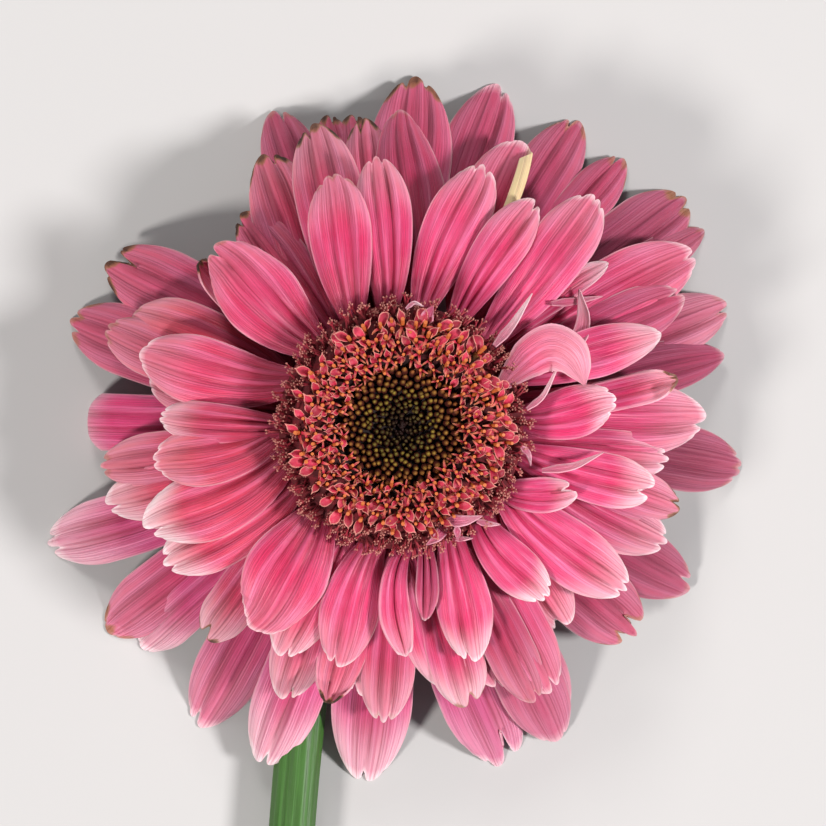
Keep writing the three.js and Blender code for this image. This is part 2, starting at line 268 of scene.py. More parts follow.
@dataclass(frozen=True)
class PetalFinish:
    """Soft pink petal: streaked, crimson at the foot, pale at the tip and rim, burnt in places.
    Painted shade lies in its grooves, over petals in shade and up the feet; a painted highlight at the tip.
    """

    rose: Colour = colour(0xDC2C68)
    light: Colour = colour(0xF48CBC)
    salmon: Colour = colour(0xDE3C58)
    mauve: Colour = colour(0xD24A92)
    vein_and_groove_shade: Colour = colour(0x960C36)
    foot: Colour = colour(0x76081C)
    cream_and_highlight: Colour = colour(0xFBDCE0)
    painted_shade: Colour = colour(0x70203F)
    brown: Colour = colour(0x3A1E0E)
    tan: Colour = colour(0x9A6A3C)
    back: Colour = colour(0xD58CA0)
    straw: Colour = colour(0xEAD79C)

    def material(self) -> Any:
        """Returns the material, which reads the tints that each petal stores."""
        s = Shader("petal")
        fine = s.streaks(56, 1.6, 3).between(0.34, 0.56)
        broad = s.streaks(7, 0.9, 2).between(0.35, 0.65)
        cells = s.object_noise(2600, 2)
        mottle = s.object_noise(130, 3).between(0.35, 0.68)
        # The salmon end of warm is partly the petal's own hue and partly painted light: petals on the
        # over-lit side of the head lean salmon.
        warm = s.attribute("warm")
        tone = s.mix(warm.between(0.0, 1.0), self.rose, self.salmon)
        tone = s.mix((warm * -1).between(0.0, 1.0), tone, self.mauve)
        tone = s.mix(broad * 0.3 + mottle * 0.16, tone, self.light)
        # Darker crimson along the fine veins, the petal's own colour, and painted shade in the pressed
        # grooves.
        tone = s.mix((1 - fine) * 0.32 + s.attribute("painted_groove_shade") * 0.42, tone, self.vein_and_groove_shade)
        # Painted shade: whole petals that lie in shade are darkened towards plum, a little less at the tip.
        tone = s.mix(s.attribute("painted_shade"), tone, self.painted_shade)
        # The dark crimson foot is partly the petal's own colour and partly painted shade near the disc and
        # between the petals.
        tone = s.mix(s.attribute("foot") * (0.9 - fine * 0.3), tone, self.foot)
        # The pale tip is partly the petal's own paler colour and partly a painted highlight.
        tone = s.mix(s.attribute("pale") * (0.6 + fine * 0.4), tone, self.cream_and_highlight)
        tone = s.mix(s.attribute("rim") * 0.32, tone, self.cream_and_highlight)
        tone = s.mix(s.attribute("under") * 0.45, tone, self.back)
        tone = s.mix(s.attribute("rolled") * (0.65 + fine * 0.2), tone, self.straw)
        burn = s.attribute("burn") + (mottle - 0.5) * 0.3 * s.attribute("burn")
        tone = s.mix(burn.between(0.2, 0.55) * 0.8, tone, self.tan)
        tone = s.mix(burn.between(0.45, 0.85), tone, self.brown)
        s.set(Base_Color=tone, Roughness=0.4 + cells * 0.16 + s.attribute("burn") * 0.2)
        s.set(Subsurface_Weight=0.12, Subsurface_Radius=(1.0, 0.3, 0.36), Subsurface_Scale=0.0014)
        s.set(Sheen_Weight=0.03, Sheen_Roughness=0.5, Specular_IOR_Level=0.4)
        s.bump(fine * 0.45 + broad * 0.3 + cells * 0.25, 0.00022, 0.8)
        return s.material


@dataclass(frozen=True)
class StemFinish:
    """Satin green stem, ribbed along its length, browned at the cut. Its greens are darker all over as
    painted shade.
    """

    # Painted shade: all three greens are set darker than the stem's own green.
    green: Colour = colour(0x2F6220)
    pale: Colour = colour(0x507E30)
    dark: Colour = colour(0x173A12)
    pith: Colour = colour(0xD6DDA4)
    brown: Colour = colour(0x7A5A2C)

    def material(self) -> Any:
        """Returns the stem's material."""
        s = Shader("stem")
        fine = s.streaks(30, 14, 3)
        blotch = s.object_noise(60, 3).between(0.35, 0.65)
        tone = s.mix(fine.between(0.35, 0.65), self.dark, self.green)
        tone = s.mix(blotch * 0.4, tone, self.pale)
        tone = s.mix(s.attribute("cut"), tone, self.pith)
        tone = s.mix(s.attribute("burn") * (0.6 + blotch * 0.4), tone, self.brown)
        s.set(Base_Color=tone, Roughness=0.42 + fine * 0.18, Subsurface_Weight=0.08)
        s.set(Subsurface_Radius=(0.4, 1.0, 0.3), Subsurface_Scale=0.001)
        s.bump(fine * 0.7 + s.object_noise(900, 3) * 0.3, 0.0003, 0.6)
        return s.material


@dataclass(frozen=True)
class BractFinish:
    """Dull green bracts with red-brown tips and pale edges."""

    green: Colour = colour(0x4D6E2E)
    dark: Colour = colour(0x2B4A1E)
    tip: Colour = colour(0x7A3440)
    edge: Colour = colour(0x9DB071)

    def material(self) -> Any:
        """Returns the bracts' material."""
        s = Shader("bract")
        lines = s.streaks(16, 2, 2).between(0.3, 0.7)
        tone = s.mix(lines, self.dark, self.green)
        tone = s.mix(s.attribute("rim") * 0.6, tone, self.edge)
        tone = s.mix(s.attribute("pale"), tone, self.tip)
        s.set(Base_Color=tone, Roughness=0.55 + lines * 0.2, Sheen_Weight=0.2)
        s.bump(lines * 0.6 + s.object_noise(1500, 2) * 0.4, 0.00025, 0.8)
        return s.material


@dataclass(frozen=True)
class CupFinish:
    """The fleshy green cup behind the bracts."""

    green: Colour = colour(0x55793A)
    pale: Colour = colour(0x8EA85E)

    def material(self) -> Any:
        """Returns the cup's material."""
        s = Shader("cup")
        noise = s.object_noise(300, 3)
        s.set(Base_Color=s.mix(noise.between(0.3, 0.7), self.green, self.pale))
        s.set(Roughness=0.5 + noise * 0.3)
        s.bump(noise, 0.0003, 0.6)
        return s.material


@dataclass(frozen=True)
class BudFinish:
    """Packed buds: nearly black in the eye, olive-gold tips round it, brown-red sides.
    Only the very tips are bright, partly as a painted highlight, and the sides are partly painted shade
    between the packed buds.
    """

    eye: Colour = colour(0x200A08)
    side: Colour = colour(0x42140C)
    olive: Colour = colour(0x504A18)
    gold: Colour = colour(0x867428)
    orange: Colour = colour(0x9C5428)

    def material(self) -> Any:
        """Returns the buds' material."""
        s = Shader("bud")
        out = s.attribute("out")
        tip = s.attribute("tip")
        tone = s.mix(s.attribute("tint"), self.olive, self.gold)
        tone = s.mix(out.between(0.5, 1.0) * 0.85, tone, self.orange)
        # Painted light: only the top of each bud keeps its bright colour; below it the sides turn brown-red,
        # partly as painted shade.
        tone = s.mix(tip.between(0.68, 0.96), self.side, tone)
        tone = s.mix(1 - out.between(0.1, 0.62), tone, self.eye)
        s.set(Base_Color=tone, Roughness=0.5 + s.object_noise(2000) * 0.3, Specular_IOR_Level=0.25)
        s.bump(s.object_noise(3500, 2), 0.0001, 0.5)
        return s.material


@dataclass(frozen=True)
class FloretFinish:
    """Open florets: brown-gold tubes, nearly black low down as painted shade, crimson lobes with pale edges
    and orange-gold anthers.
    """

    tube: Colour = colour(0x8E5A2A)
    lobe: Colour = colour(0x96142E)
    coral: Colour = colour(0xCC3050)
    pink: Colour = colour(0xF0AC98)
    anther: Colour = colour(0xC2662E)
    pollen: Colour = colour(0xF2BC70)
    painted_tube_shade: Colour = (0.02, 0.003, 0.004)

    def material(self) -> Any:
        """Returns the open florets' material."""
        s = Shader("floret")
        tint = s.attribute("tint")
        tip = s.attribute("tip")
        gold = s.attribute("gold")
        tone = s.mix(tint, self.lobe, self.coral)
        tone = s.mix(tip.between(0.25, 0.5), self.tube, tone)
        # Painted shade: each tube goes nearly black towards its foot, down among the packed florets.
        tone = s.mix((1 - tip.between(0.0, 0.3)) * 0.9, tone, self.painted_tube_shade)
        tone = s.mix(tip.between(0.86, 1.0) * 0.66, tone, self.pink)
        stamen = s.mix(tip.between(0.3, 1.0), self.anther, self.pollen)
        tone = s.mix(gold, tone, stamen)
        noise = s.object_noise(2400, 2)
        s.set(Base_Color=tone, Roughness=0.45 + noise * 0.25, Subsurface_Weight=0.1)
        s.set(Subsurface_Radius=(1.0, 0.3, 0.2), Subsurface_Scale=0.0008)
        s.bump(noise, 0.00012, 0.5)
        return s.material


@dataclass(frozen=True)
class WitheredFinish:
    """Withered outer florets: dark crimson below, dusty pink above."""

    low: Colour = colour(0x660A18)
    crimson: Colour = colour(0x9A162E)
    dust: Colour = colour(0xA23A42)
    straw: Colour = colour(0xD29484)

    def material(self) -> Any:
        """Returns the withered florets' material."""
        s = Shader("withered")
        tip = s.attribute("tip")
        tone = s.mix(s.attribute("tint"), self.crimson, self.dust)
        tone = s.mix(tip.between(0.1, 0.62), self.low, tone)
        tone = s.mix(tip.between(0.78, 1.0) * 0.66, tone, self.straw)
        noise = s.object_noise(2600, 3)
        s.set(Base_Color=tone, Roughness=0.65 + noise * 0.25)
        s.bump(noise, 0.00018, 0.7)
        return s.material


@dataclass(frozen=True)
class ShadeBedFinish:
    """The dark, rough floor of the disc that shows between its florets; its near black is painted shade."""

    dark: Colour = colour(0x180507)
    crimson: Colour = colour(0x7A1220)

    def material(self) -> Any:
        """Returns the bed's material."""
        s = Shader("bed")
        noise = s.object_noise(900, 3)
        # Painted shade: nearly black near the middle, lifting to crimson further out, standing for the shade
        # between the florets.
        share = s.attribute("far") * (0.45 + noise.between(0.4, 0.7) * 0.55)
        s.set(Base_Color=s.mix(share, self.dark, self.crimson), Roughness=0.85)
        s.bump(noise, 0.0004, 0.8)
        return s.material


@dataclass(frozen=True)
class FloorFinish:
    """Plain pale table top."""

    tone: Colour = (0.53, 0.525, 0.52)
    grain: Colour = (0.48, 0.475, 0.47)

    def material(self) -> Any:
        """Returns the table top's material."""
        s = Shader("floor")
        noise = s.object_noise(40, 2)
        s.set(Base_Color=s.mix(noise * 0.06, self.tone, self.grain), Roughness=0.85)
        return s.material


# ---- Modelling -----------------------------------------------------------------------------


class Bench:
    """The modeller's hands: primitives, operators and modifiers on one object at a time."""

    @staticmethod
    def clear() -> None:
        """Leaves nothing selected."""
        if bpy.context.object and bpy.context.object.mode != "OBJECT":
            bpy.ops.object.mode_set(mode="OBJECT")
        bpy.ops.object.select_all(action="DESELECT")

    @staticmethod
    def only(piece: Any) -> None:
        """Selects one piece alone and makes it active."""
        Bench.clear()
        piece.select_set(True)
        bpy.context.view_layer.objects.active = piece

    @staticmethod
    def modify(piece: Any, kind: str, **settings: Any) -> None:
        """Adds a modifier and applies it.

        Args:
            piece: The piece.
            kind: The modifier's type.
            settings: Its properties.
        """
        Bench.only(piece)
        made = piece.modifiers.new(kind.title(), kind)
        for key, value in settings.items():
            setattr(made, key, value)
        bpy.ops.object.modifier_apply(modifier=made.name)

    @staticmethod
    def grid(name: str, across: int, along: int) -> Any:
        """Adds a flat grid that a blade is then shaped from.

        Args:
            name: The piece's name.
            across: Faces across.
            along: Faces along.

        Returns:
            The piece, 1 by 1 about the origin.
        """
        Bench.clear()
        bpy.ops.mesh.primitive_grid_add(x_subdivisions=across, y_subdivisions=along, size=1)
        piece = bpy.context.object
        piece.name = name
        piece.data.name = name
        return piece

    @staticmethod
    def sheet(name: str, across: int, along: int) -> tuple[Any, np.ndarray, np.ndarray]:
        """Adds a flat grid for a blade and says where its points lie.

        Args:
            name: The piece's name.
            across: Faces across.
            along: Faces along.

        Returns:
            The piece, and for each point -1 to 1 across it and 0 to 1 along it.
        """
        piece = Bench.grid(name, across, along)
        flat = Bench.coordinates(piece)
        return piece, flat[:, 0] * -2, flat[:, 1] + 0.5

    @staticmethod
    def coordinates(piece: Any) -> np.ndarray:
        """Returns a mesh's points as rows."""
        flat = np.empty(len(piece.data.vertices) * 3)
        piece.data.vertices.foreach_get("co", flat)
        return flat.reshape(-1, 3)

    @staticmethod
    def place(piece: Any, points: np.ndarray) -> None:
        """Moves a mesh's points.

        Args:
            piece: The piece.
            points: Their new places, as rows.
        """
        piece.data.vertices.foreach_set("co", np.asarray(points, float).ravel())
        piece.data.update()

    @staticmethod
    def store(piece: Any, name: str, values: Any) -> None:
        """Stores a number for every point of a mesh.

        Args:
            piece: The piece.
            name: The attribute's name.
            values: One number, or one for each point.
        """
        mesh = piece.data
        made = mesh.attributes.get(name) or mesh.attributes.new(name, "FLOAT", "POINT")
        full = np.broadcast_to(np.asarray(values, np.float32), (len(mesh.vertices),))
        made.data.foreach_set("value", np.ascontiguousarray(full))

    @staticmethod
    def smooth(piece: Any, degrees: float = 50.0) -> None:
        """Shades a piece smoothly, but for edges sharper than an angle."""
        Bench.only(piece)
        bpy.ops.object.shade_smooth_by_angle(angle=math.radians(degrees))

    @staticmethod
    def outward(piece: Any, weld: float = 0.0) -> None:
        """Turns all faces of a piece outward.

        Args:
            piece: The piece.
            weld: Points closer than this, in metres, are merged first.
        """
        Bench.only(piece)
        bpy.ops.object.mode_set(mode="EDIT")
        bpy.ops.mesh.select_all(action="SELECT")
        if weld:
            bpy.ops.mesh.remove_doubles(threshold=weld)
        bpy.ops.mesh.normals_make_consistent(inside=False)
        bpy.ops.object.mode_set(mode="OBJECT")

    @staticmethod
    def join(pieces: Sequence[Any], name: str) -> Any:
        """Joins pieces into one.

        Args:
            pieces: The pieces, the first of which stays.
            name: The joined piece's name.

        Returns:
            The joined piece.
        """
        Bench.clear()
        for piece in pieces:
            piece.select_set(True)
        bpy.context.view_layer.objects.active = pieces[0]
        if len(pieces) > 1:
            bpy.ops.object.join()
        pieces[0].name = name
        pieces[0].data.name = name
        return pieces[0]

    @staticmethod
    def copy(pattern: Any, matrix: Matrix, tints: dict[str, float]) -> Any:
        """Copies a modelled pattern with its own mesh to a place.

        Args:
            pattern: The pattern.
            matrix: Where the copy goes.
            tints: Numbers stored all over the copy.

        Returns:
            The copy, its place in its mesh.
        """
        made = pattern.copy()
        made.data = pattern.data.copy()
        made.data.transform(matrix)
        bpy.context.scene.collection.objects.link(made)
        for key, value in tints.items():
            Bench.store(made, key, value)
        return made

    @staticmethod
    def hand_over(piece: Any, material: Any, slot: str, nodes: Iterable[str] = ()) -> None:
        """Gives a finished piece its material and its place in the frame.

        Args:
            piece: The piece.
            material: Its material.
            slot: Not used.
            nodes: Solids that it stands for.
        """
        piece.data.materials.clear()
        piece.data.materials.append(material)
        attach(piece, "root")
        if nodes:
            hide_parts(*nodes)
        log.info("%s: %d faces", piece.name, len(piece.data.polygons))


# ---- Reading the solids ---------------------------------------------------------------------


class Solids:
    """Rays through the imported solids, in millimetres from the middle of the head."""

    def __init__(self) -> None:
        """Finds the middle of the head and readies the solids."""
        low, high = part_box("bud_disc")
        self.centre = ((low + high) / 2).xy / MM
        self.trees: dict[str, BVHTree] = {}
        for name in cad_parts:
            self.trees[name] = self._tree([name])
        rows = {row: [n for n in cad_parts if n.startswith(f"petal_{row}")] for row in ROWS}
        self.row_nodes = {row: sorted(names) for row, names in rows.items()}
        self.row_trees = {row: self._tree(names) for row, names in self.row_nodes.items()}
        self.all = self._tree(list(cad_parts))

    def _tree(self, names: Sequence[str]) -> BVHTree:
        """Builds one ray tree over some solids."""
        points: list[Vector] = []
        faces: list[list[int]] = []
        shift = Vector((self.centre.x, self.centre.y, 0))
        for name in names:
            start = len(points)
            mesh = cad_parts[name].data
            points += [v.co / MM - shift for v in mesh.vertices]
            faces += [[start + i for i in p.vertices] for p in mesh.polygons]
        return BVHTree.FromPolygons(points, faces)

    def top(self, tree: BVHTree, x: float, y: float) -> Optional[float]:
        """Height of the highest surface at a place, or None."""
        hit = tree.ray_cast(Vector((x, y, 90)), Vector((0, 0, -1)))[0]
        return None if hit is None else hit.z

    def under(self, tree: BVHTree, x: float, y: float) -> Optional[float]:
        """Height of the lowest surface at a place, or None."""
        hit = tree.ray_cast(Vector((x, y, -20)), Vector((0, 0, 1)))[0]
        return None if hit is None else hit.z

    def world(self, points: np.ndarray) -> np.ndarray:
        """Moves rows of millimetres round the head to the frame's metres."""
        shift = np.array([self.centre.x, self.centre.y, 0.0])
        return (np.asarray(points) + shift) * MM


def polar(bearing: Any, distance: Any) -> tuple[Any, Any]:
    """Turns bearings in degrees and distances into x and y."""
    angle = np.radians(bearing)
    return np.cos(angle) * distance, np.sin(angle) * distance


def eased(values: np.ndarray, times: int = 2) -> np.ndarray:
    """Averages each value with its neighbours, a few times, and keeps the ends."""
    values = np.array(values, float)
    for _ in range(times):
        values[1:-1] = (values[:-2] + 2 * values[1:-1] + values[2:]) / 4
    return values


@dataclass
class Blade:
    """Where a petal lies: at each distance, its bearing and the heights across it."""

    radii: np.ndarray
    bearing: np.ndarray
    left: np.ndarray
    middle: np.ndarray
    right: np.ndarray
    width: float

    @classmethod
    def measured(cls, solids: Solids, node: str) -> "Blade":
        """Measures a solid petal.

        Args:
            solids: The solids.
            node: The petal's name.

        Returns:
            Where it lies.
        """
        tree = solids.trees[node]
        points = np.array([v.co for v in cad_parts[node].data.vertices]) / MM
        points = points[:, :2] - np.array(solids.centre)
        distance = np.hypot(points[:, 0], points[:, 1])
        main = math.degrees(math.atan2(points[:, 1].mean(), points[:, 0].mean()))
        radii = np.linspace(distance.min() + 1.0, distance.max() - 0.5, 15)
        rows = []
        widest = 0.0
        for radius in radii:
            scan = main + np.arange(-34, 34.01, 0.4)
            seen = [b for b in scan if solids.top(tree, *polar(b, radius)) is not None]
            if len(seen) < 2:
                continue
            low, high = min(seen), max(seen)
            middle = (low + high) / 2
            inset = (high - low) * 0.46
            heights = [solids.top(tree, *polar(middle + k * inset, radius)) for k in (1, 0, -1)]
            if None in heights:
                continue
            widest = max(widest, math.radians(high - low) * radius)
            rows.append((radius, middle, *heights))
        table = np.array(rows)
        table[-1, 0] = distance.max()
        columns = [eased(table[:, i]) for i in range(1, 5)]
        return cls(table[:, 0], *columns, widest)

    @classmethod
    def laid(cls, solids: Solids, row: str, root: float, tip: float, reach: float, width: float,
             lift: float = 0.0, start: float = 17.0) -> "Blade":
        """Lays an extra petal on its own row and under the rows above.

        Args:
            solids: The solids.
            row: The row that it lies on, or "over" for one on top of everything.
            root: Bearing near the disc.
            tip: Bearing of the tip.
            reach: Distance of the tip.
            width: Width in millimetres.
            lift: How far the tip stands above that.
            start: Where it begins.

        Returns:
            Where it lies.
        """
        radii = np.linspace(start, reach, 13)
        share = (radii - start) / (reach - start)
        bearing = root + (tip - root) * share**1.3
        on_top = row == "over"
        level = len(ROWS) if on_top else ROWS.index(row) + 1
        below = [solids.all] if on_top else [solids.row_trees[r] for r in ROWS[:level]]
        above = [solids.row_trees[r] for r in ROWS[level:]]
        nominal = NOMINAL["inner" if on_top else row]
        heights = []
        for radius, angle, part in zip(radii, bearing, share):
            spread = math.degrees(width * 0.42 * math.sin(math.pi * min(part + 0.15, 0.85)) / radius)
            spots = [polar(angle + k * spread, radius) for k in (-1, 0, 1)]
            height = float(np.interp(radius, *nominal))
            floors = [z for t in below for p in spots if (z := solids.top(t, *p)) is not None]
            roofs = [z for t in above for p in spots if (z := solids.under(t, *p)) is not None]
            if on_top and radius < DISC_REACH:
                floors = []
            height = max([height] + [z + GAP_BELOW for z in floors])
            if roofs:
                height = min(height, min(roofs) - GAP_ABOVE)
            heights.append(height)
        line = eased(np.array(heights), 3) + lift * share**2
        return cls(radii, bearing, line - ARCH, line, line - ARCH, width)


# the usual height of each row: distances from the middle, and the heights there
NOMINAL: dict[str, tuple[np.ndarray, np.ndarray]] = {}


def learn_rows(solids: Solids, blades: dict[str, Blade]) -> None:
    """Notes the usual height of each row at each distance.

    Args:
        solids: The solids.
        blades: The measured petals.
    """
    radii = np.linspace(17, 60, 18)
    for row in ROWS:
        lines = [np.interp(radii, blades[n].radii, blades[n].middle) for n in solids.row_nodes[row]]
        NOMINAL[row] = (radii, np.median(lines, axis=0))


# ---- Petals --------------------------------------------------------------------------------


Notch = tuple[float, float, float]


class Tip(Enum):
    """How a petal ends: length of its dome in half widths, how square its front is, and notches.

    A notch has a place across the petal from -1 to 1, a depth in mm and a width across.
    """

    ROUND = (1.8, 0.66, ((-0.38, 0.4, 0.06), (0.4, 0.35, 0.06)))
    FINE = (1.8, 0.72, ((-0.5, 0.8, 0.055), (0.02, 0.9, 0.055), (0.48, 0.7, 0.055)))
    TWO = (2.1, 0.66, ((0.05, 2.2, 0.065), (0.66, 0.35, 0.06)))
    THREE = (1.8, 0.74, ((-0.36, 1.6, 0.065), (0.34, 1.8, 0.065)))
    POINTS = (2.0, 0.68, ((-0.42, 1.2, 0.065), (0.4, 1.3, 0.065)))
    POINT = (3.0, 0.36, ((0.5, 0.2, 0.08),))
    CLEFT = (1.9, 0.72, ((0.0, 7.0, 0.1), (0.5, 0.9, 0.06), (-0.55, 0.7, 0.06)))
    FORK = (1.8, 0.66, ((0.05, 3.0, 0.18),))
    TORN = (1.6, 0.78, ((-0.5, 2.8, 0.1), (0.08, 1.3, 0.07), (0.42, 4.0, 0.09)))
    FOUR = (1.6, 0.8, ((-0.55, 1.3, 0.065), (0.0, 1.5, 0.065), (0.5, 1.3, 0.065)))


@dataclass(frozen=True)
class PetalLook:
    """The tints and small shapes of one petal.

    burn and the painted shade run from 0 to 1; the painted shade darkens a whole petal that lies in
    shade. warm runs from -1, mauve, to 1, salmon, and its salmon end is partly painted light. pale
    runs from 0, and above 1 the pale tip is larger; the pale tip is partly a painted highlight. curl
    is where the tip starts to curl, as a share of the length, and how far in degrees, down when
    positive. edge turns the sides up, in mm. grooves are places across the petal from -1 to 1, pressed
    in and darkened as painted shade, and depth is theirs in mm. roll is the side, 1 or -1, that rolls
    over, and how far in degrees. stretch makes a curled petal longer than its solid, so that the
    curl ends where the solid does.
    """

    tip: Tip = Tip.TWO
    warm: float = 0.15
    pale: float = 0.35
    burn: float = 0.0
    painted_shade: float = 0.0
    curl: tuple[float, float] = (0.7, 19.0)
    edge: float = -0.75
    grooves: tuple[float, ...] = (-0.34, 0.3)
    depth: float = 0.75
    roll: tuple[int, float] = (0, 0.0)
    stretch: float = 1.0


@dataclass
class PetalMaker:
    """Shapes petals from flat grids.

    across and along are a petal's faces, or slim_cells where it is narrower than slim in mm.
    fullness and steepness shape the dome at the end. hinge is where a rolled side begins, from the
    middle to the edge, and roll_width how much wider such a petal is. shaded_side is the bearing
    whose petals have the longest dark foot: the foot is partly the petal's own crimson and partly
    painted shade, which reaches further on that side.
    """

    solids: Solids
    material: Any
    across: int = 30
    along: int = 46
    slim: float = 6.5
    slim_cells: tuple[int, int] = (12, 28)
    thickness: float = 0.34
    fullness: float = 1.9
    steepness: float = 0.6
    hinge: float = 0.15
    roll_width: float = 1.22
    shaded_side: float = 150.0
    count: int = 0

    def make(self, name: str, blade: Blade, look: PetalLook, slot: str, nodes: Iterable[str] = ()) -> Any:
        """Makes one petal.

        Args:
            name: The piece's name.
            blade: Where it lies.
            look: Its tints and small shapes.
            slot: Passed on to hand_over, which does not use it.
            nodes: The solid that it stands for.

        Returns:
            The piece.
        """
        self.count += 1
        draw = Random(4100 + self.count)
        cells = (self.across, self.along) if blade.width >= self.slim else self.slim_cells
        piece, side, share = Bench.sheet(name, *cells)
        points, masks = self._shape(blade, look, side, share, draw)
        Bench.place(piece, self.solids.world(points))
        for key, values in masks.items():
            Bench.store(piece, key, values)
        Bench.modify(piece, "SOLIDIFY", thickness=self.thickness * MM, offset=-1, use_even_offset=False)
        under = (np.arange(len(piece.data.vertices)) >= len(side)).astype(np.float32)
        Bench.store(piece, "under", under)
        Bench.smooth(piece, 60)
        Bench.hand_over(piece, self.material, slot, nodes)
        return piece

    @staticmethod
    def _outline(share: np.ndarray) -> np.ndarray:
        """Half the width along the petal below its dome, as a share of the widest."""
        places = [0.0, 0.1, 0.22, 0.36, 0.5, 0.64, 0.78, 1.0]
        widths = [0.34, 0.46, 0.63, 0.8, 0.92, 0.99, 1.0, 1.0]
        fine = np.linspace(0, 1, 81)
        return np.interp(share, fine, eased(np.interp(fine, places, widths), 14))

    @staticmethod
    def _lines(look: PetalLook, draw: Random) -> tuple[list[float], list[Notch]]:
        """Draws where a petal's grooves and notches lie.

        Args:
            look: Its tints and small shapes.
            draw: Its own random numbers.

        Returns:
            The grooves' places across it, and the notches.
        """
        flip = 1 if draw.random() < 0.5 else -1
        grooves = [place * flip + draw.uniform(-0.06, 0.06) for place in look.grooves]
        notches = []
        for place, depth, width in look.tip.value[2]:
            place = place * flip + draw.uniform(-0.05, 0.05)
            near = min(grooves, key=lambda g: abs(g - place), default=9.0)
            if depth >= 1 and abs(near - place) < 0.36:
                place = near * 0.8
            notches.append((place, depth * draw.uniform(0.75, 1.2), width))
        return grooves, notches

    def _cut(self, look: PetalLook, length: float, width: float, side: np.ndarray,
             share: np.ndarray, notches: Sequence[Notch]) -> tuple[np.ndarray, np.ndarray]:
        """Cuts the outline, whose end is a pointed, notched dome.

        Args:
            look: The petal's look.
            length: Its length in millimetres.
            width: Its width in millimetres.
            side: -1 to 1 across it, for each point.
            share: 0 to 1 along it, for each point.
            notches: Its notches.

        Returns:
            How far along it each point lies, and half its width there, in millimetres.
        """
        dome, front, _ = look.tip.value
        oval = min(dome * width / 2, 0.75 * length)
        full, steep = self.fullness, self.steepness
        cut = oval * (1 - (1 - (front * np.abs(side)) ** (1 / steep)) ** (1 / full))
        corner = oval * (1 - (1 - front ** (1 / steep)) ** (1 / full))
        slit = np.zeros_like(side)
        for place, depth, wide in notches:
            sharp = np.exp(-(((side - place) / wide) ** 2))
            broad = np.exp(-(((side - place) / (wide * 3)) ** 2))
            slit = np.maximum(slit, depth * (0.7 * sharp + 0.3 * broad))
        run = (length - cut) * share - slit * share**9
        below = length - (length - corner) * share
        cap = (1 - np.clip(1 - below / oval, 0, 1) ** full) ** steep
        return run, width / 2 * self._outline(share) * cap

    @staticmethod
    def _curl(look: PetalLook, length: float, side: np.ndarray, run: np.ndarray,
              draw: Random) -> tuple[np.ndarray, np.ndarray]:
        """Curls the tip along a circle, down or up.

        Args:
            look: The petal's look.
            length: Its length in millimetres.
            side: -1 to 1 across it, for each point.
            run: How far along it each point lies.
            draw: Its own random numbers.

        Returns:
            How far out each point lies, and how far the curl drops it.
        """
        begin, degrees = look.curl
        degrees *= draw.uniform(0.85, 1.15)
        begin *= length
        bend = math.radians(degrees) / max(length - begin, 1.0)
        begin = begin * (1 - 0.08 * np.abs(side) ** 3)
        arc = np.maximum(run - begin, 0)
        turn = arc * bend
        out = np.where(arc > 0, begin + np.sin(turn) / bend, run)
        return out, (1 - np.cos(turn)) / bend

    def _roll(self, look: PetalLook, side: np.ndarray, share: np.ndarray,
              half: np.ndarray) -> tuple[np.ndarray, np.ndarray, np.ndarray]:
        """Rolls one side over along its edge, tighter towards the tip.

        Args:
            look: The petal's look.
            side: -1 to 1 across it, for each point.
            share: 0 to 1 along it, for each point.
            half: Half its width at each point.

        Returns:
            How far each point lies to the right of the middle, how far the roll lifts it, and how
            much it belongs to the roll.
        """
        shift = -side * half
        way, degrees = look.roll
        if not way:
            return shift, np.zeros_like(side), np.zeros_like(side)
        half = half * self.roll_width
        over = np.maximum(side * way - self.hinge, 0) / (1 - self.hinge)
        angle = math.radians(degrees)
        grown = smooth((share - 0.25) / 0.4)
        flap = (1 - self.hinge) * half
        lift = flap / angle * (1 - np.cos(over * angle * grown))
        lateral = flap / angle * np.sin(over * angle * grown) + over * flap * (1 - grown)
        shift = np.where(over > 0, -way * (self.hinge * half + lateral), shift)
        return shift, lift, smooth(over / 0.5) * smooth((share - 0.3) / 0.4)

    @staticmethod
    def _relief(grooves: Sequence[float], notches: Sequence[Notch], side: np.ndarray,
                share: np.ndarray, draw: Random) -> np.ndarray:
        """Presses grooves along the petal and a crease behind each notch.

        Args:
            grooves: Their places across it.
            notches: Its notches.
            side: -1 to 1 across it, for each point.
            share: 0 to 1 along it, for each point.
            draw: Its own random numbers.

        Returns:
            The height of each point, from about -1 to 0.
        """
        relief = np.zeros_like(side)
        for place in grooves:
            lean = place * (1 - 0.2 * share)
            relief -= np.exp(-(((side - lean) / 0.12) ** 2)) * draw.uniform(0.75, 1.15)
        for place, depth, _ in notches:
            close = np.exp(-(((side - place) / 0.15) ** 2)) * smooth((share - 0.5) / 0.4)
            relief -= close * min(depth / 1.6, 1.0) * 0.9
        return relief

    def _tints(self, blade: Blade, look: PetalLook, side: np.ndarray, share: np.ndarray,
               radius: np.ndarray, wave: float) -> dict[str, np.ndarray]:
        """Works out where a petal is crimson at the foot, pale and burnt, and where shade and a highlight are
        painted on it.

        Args:
            blade: Where it lies.
            look: Its tints and small shapes.
            side: -1 to 1 across it, for each point.
            share: 0 to 1 along it, for each point.
            radius: How far from the middle of the head each point lies.
            wave: Where the waves of its edge begin.

        Returns:
            The masks by name.
        """
        at_end = smooth((share - 0.62) / 0.38)
        # Painted shade: the dark foot reaches further on petals on the shaded side of the head and on salmon
        # petals.
        shade = 0.5 + 0.5 * math.cos(math.radians(blade.bearing[0] - self.shaded_side))
        depth = 6.5 + 5.0 * max(look.warm, 0.0) + 10.0 * shade
        onset = 0.5 + 0.2 * min(look.pale, 1.0)
        fade = smooth((share - onset) / (1 - onset))
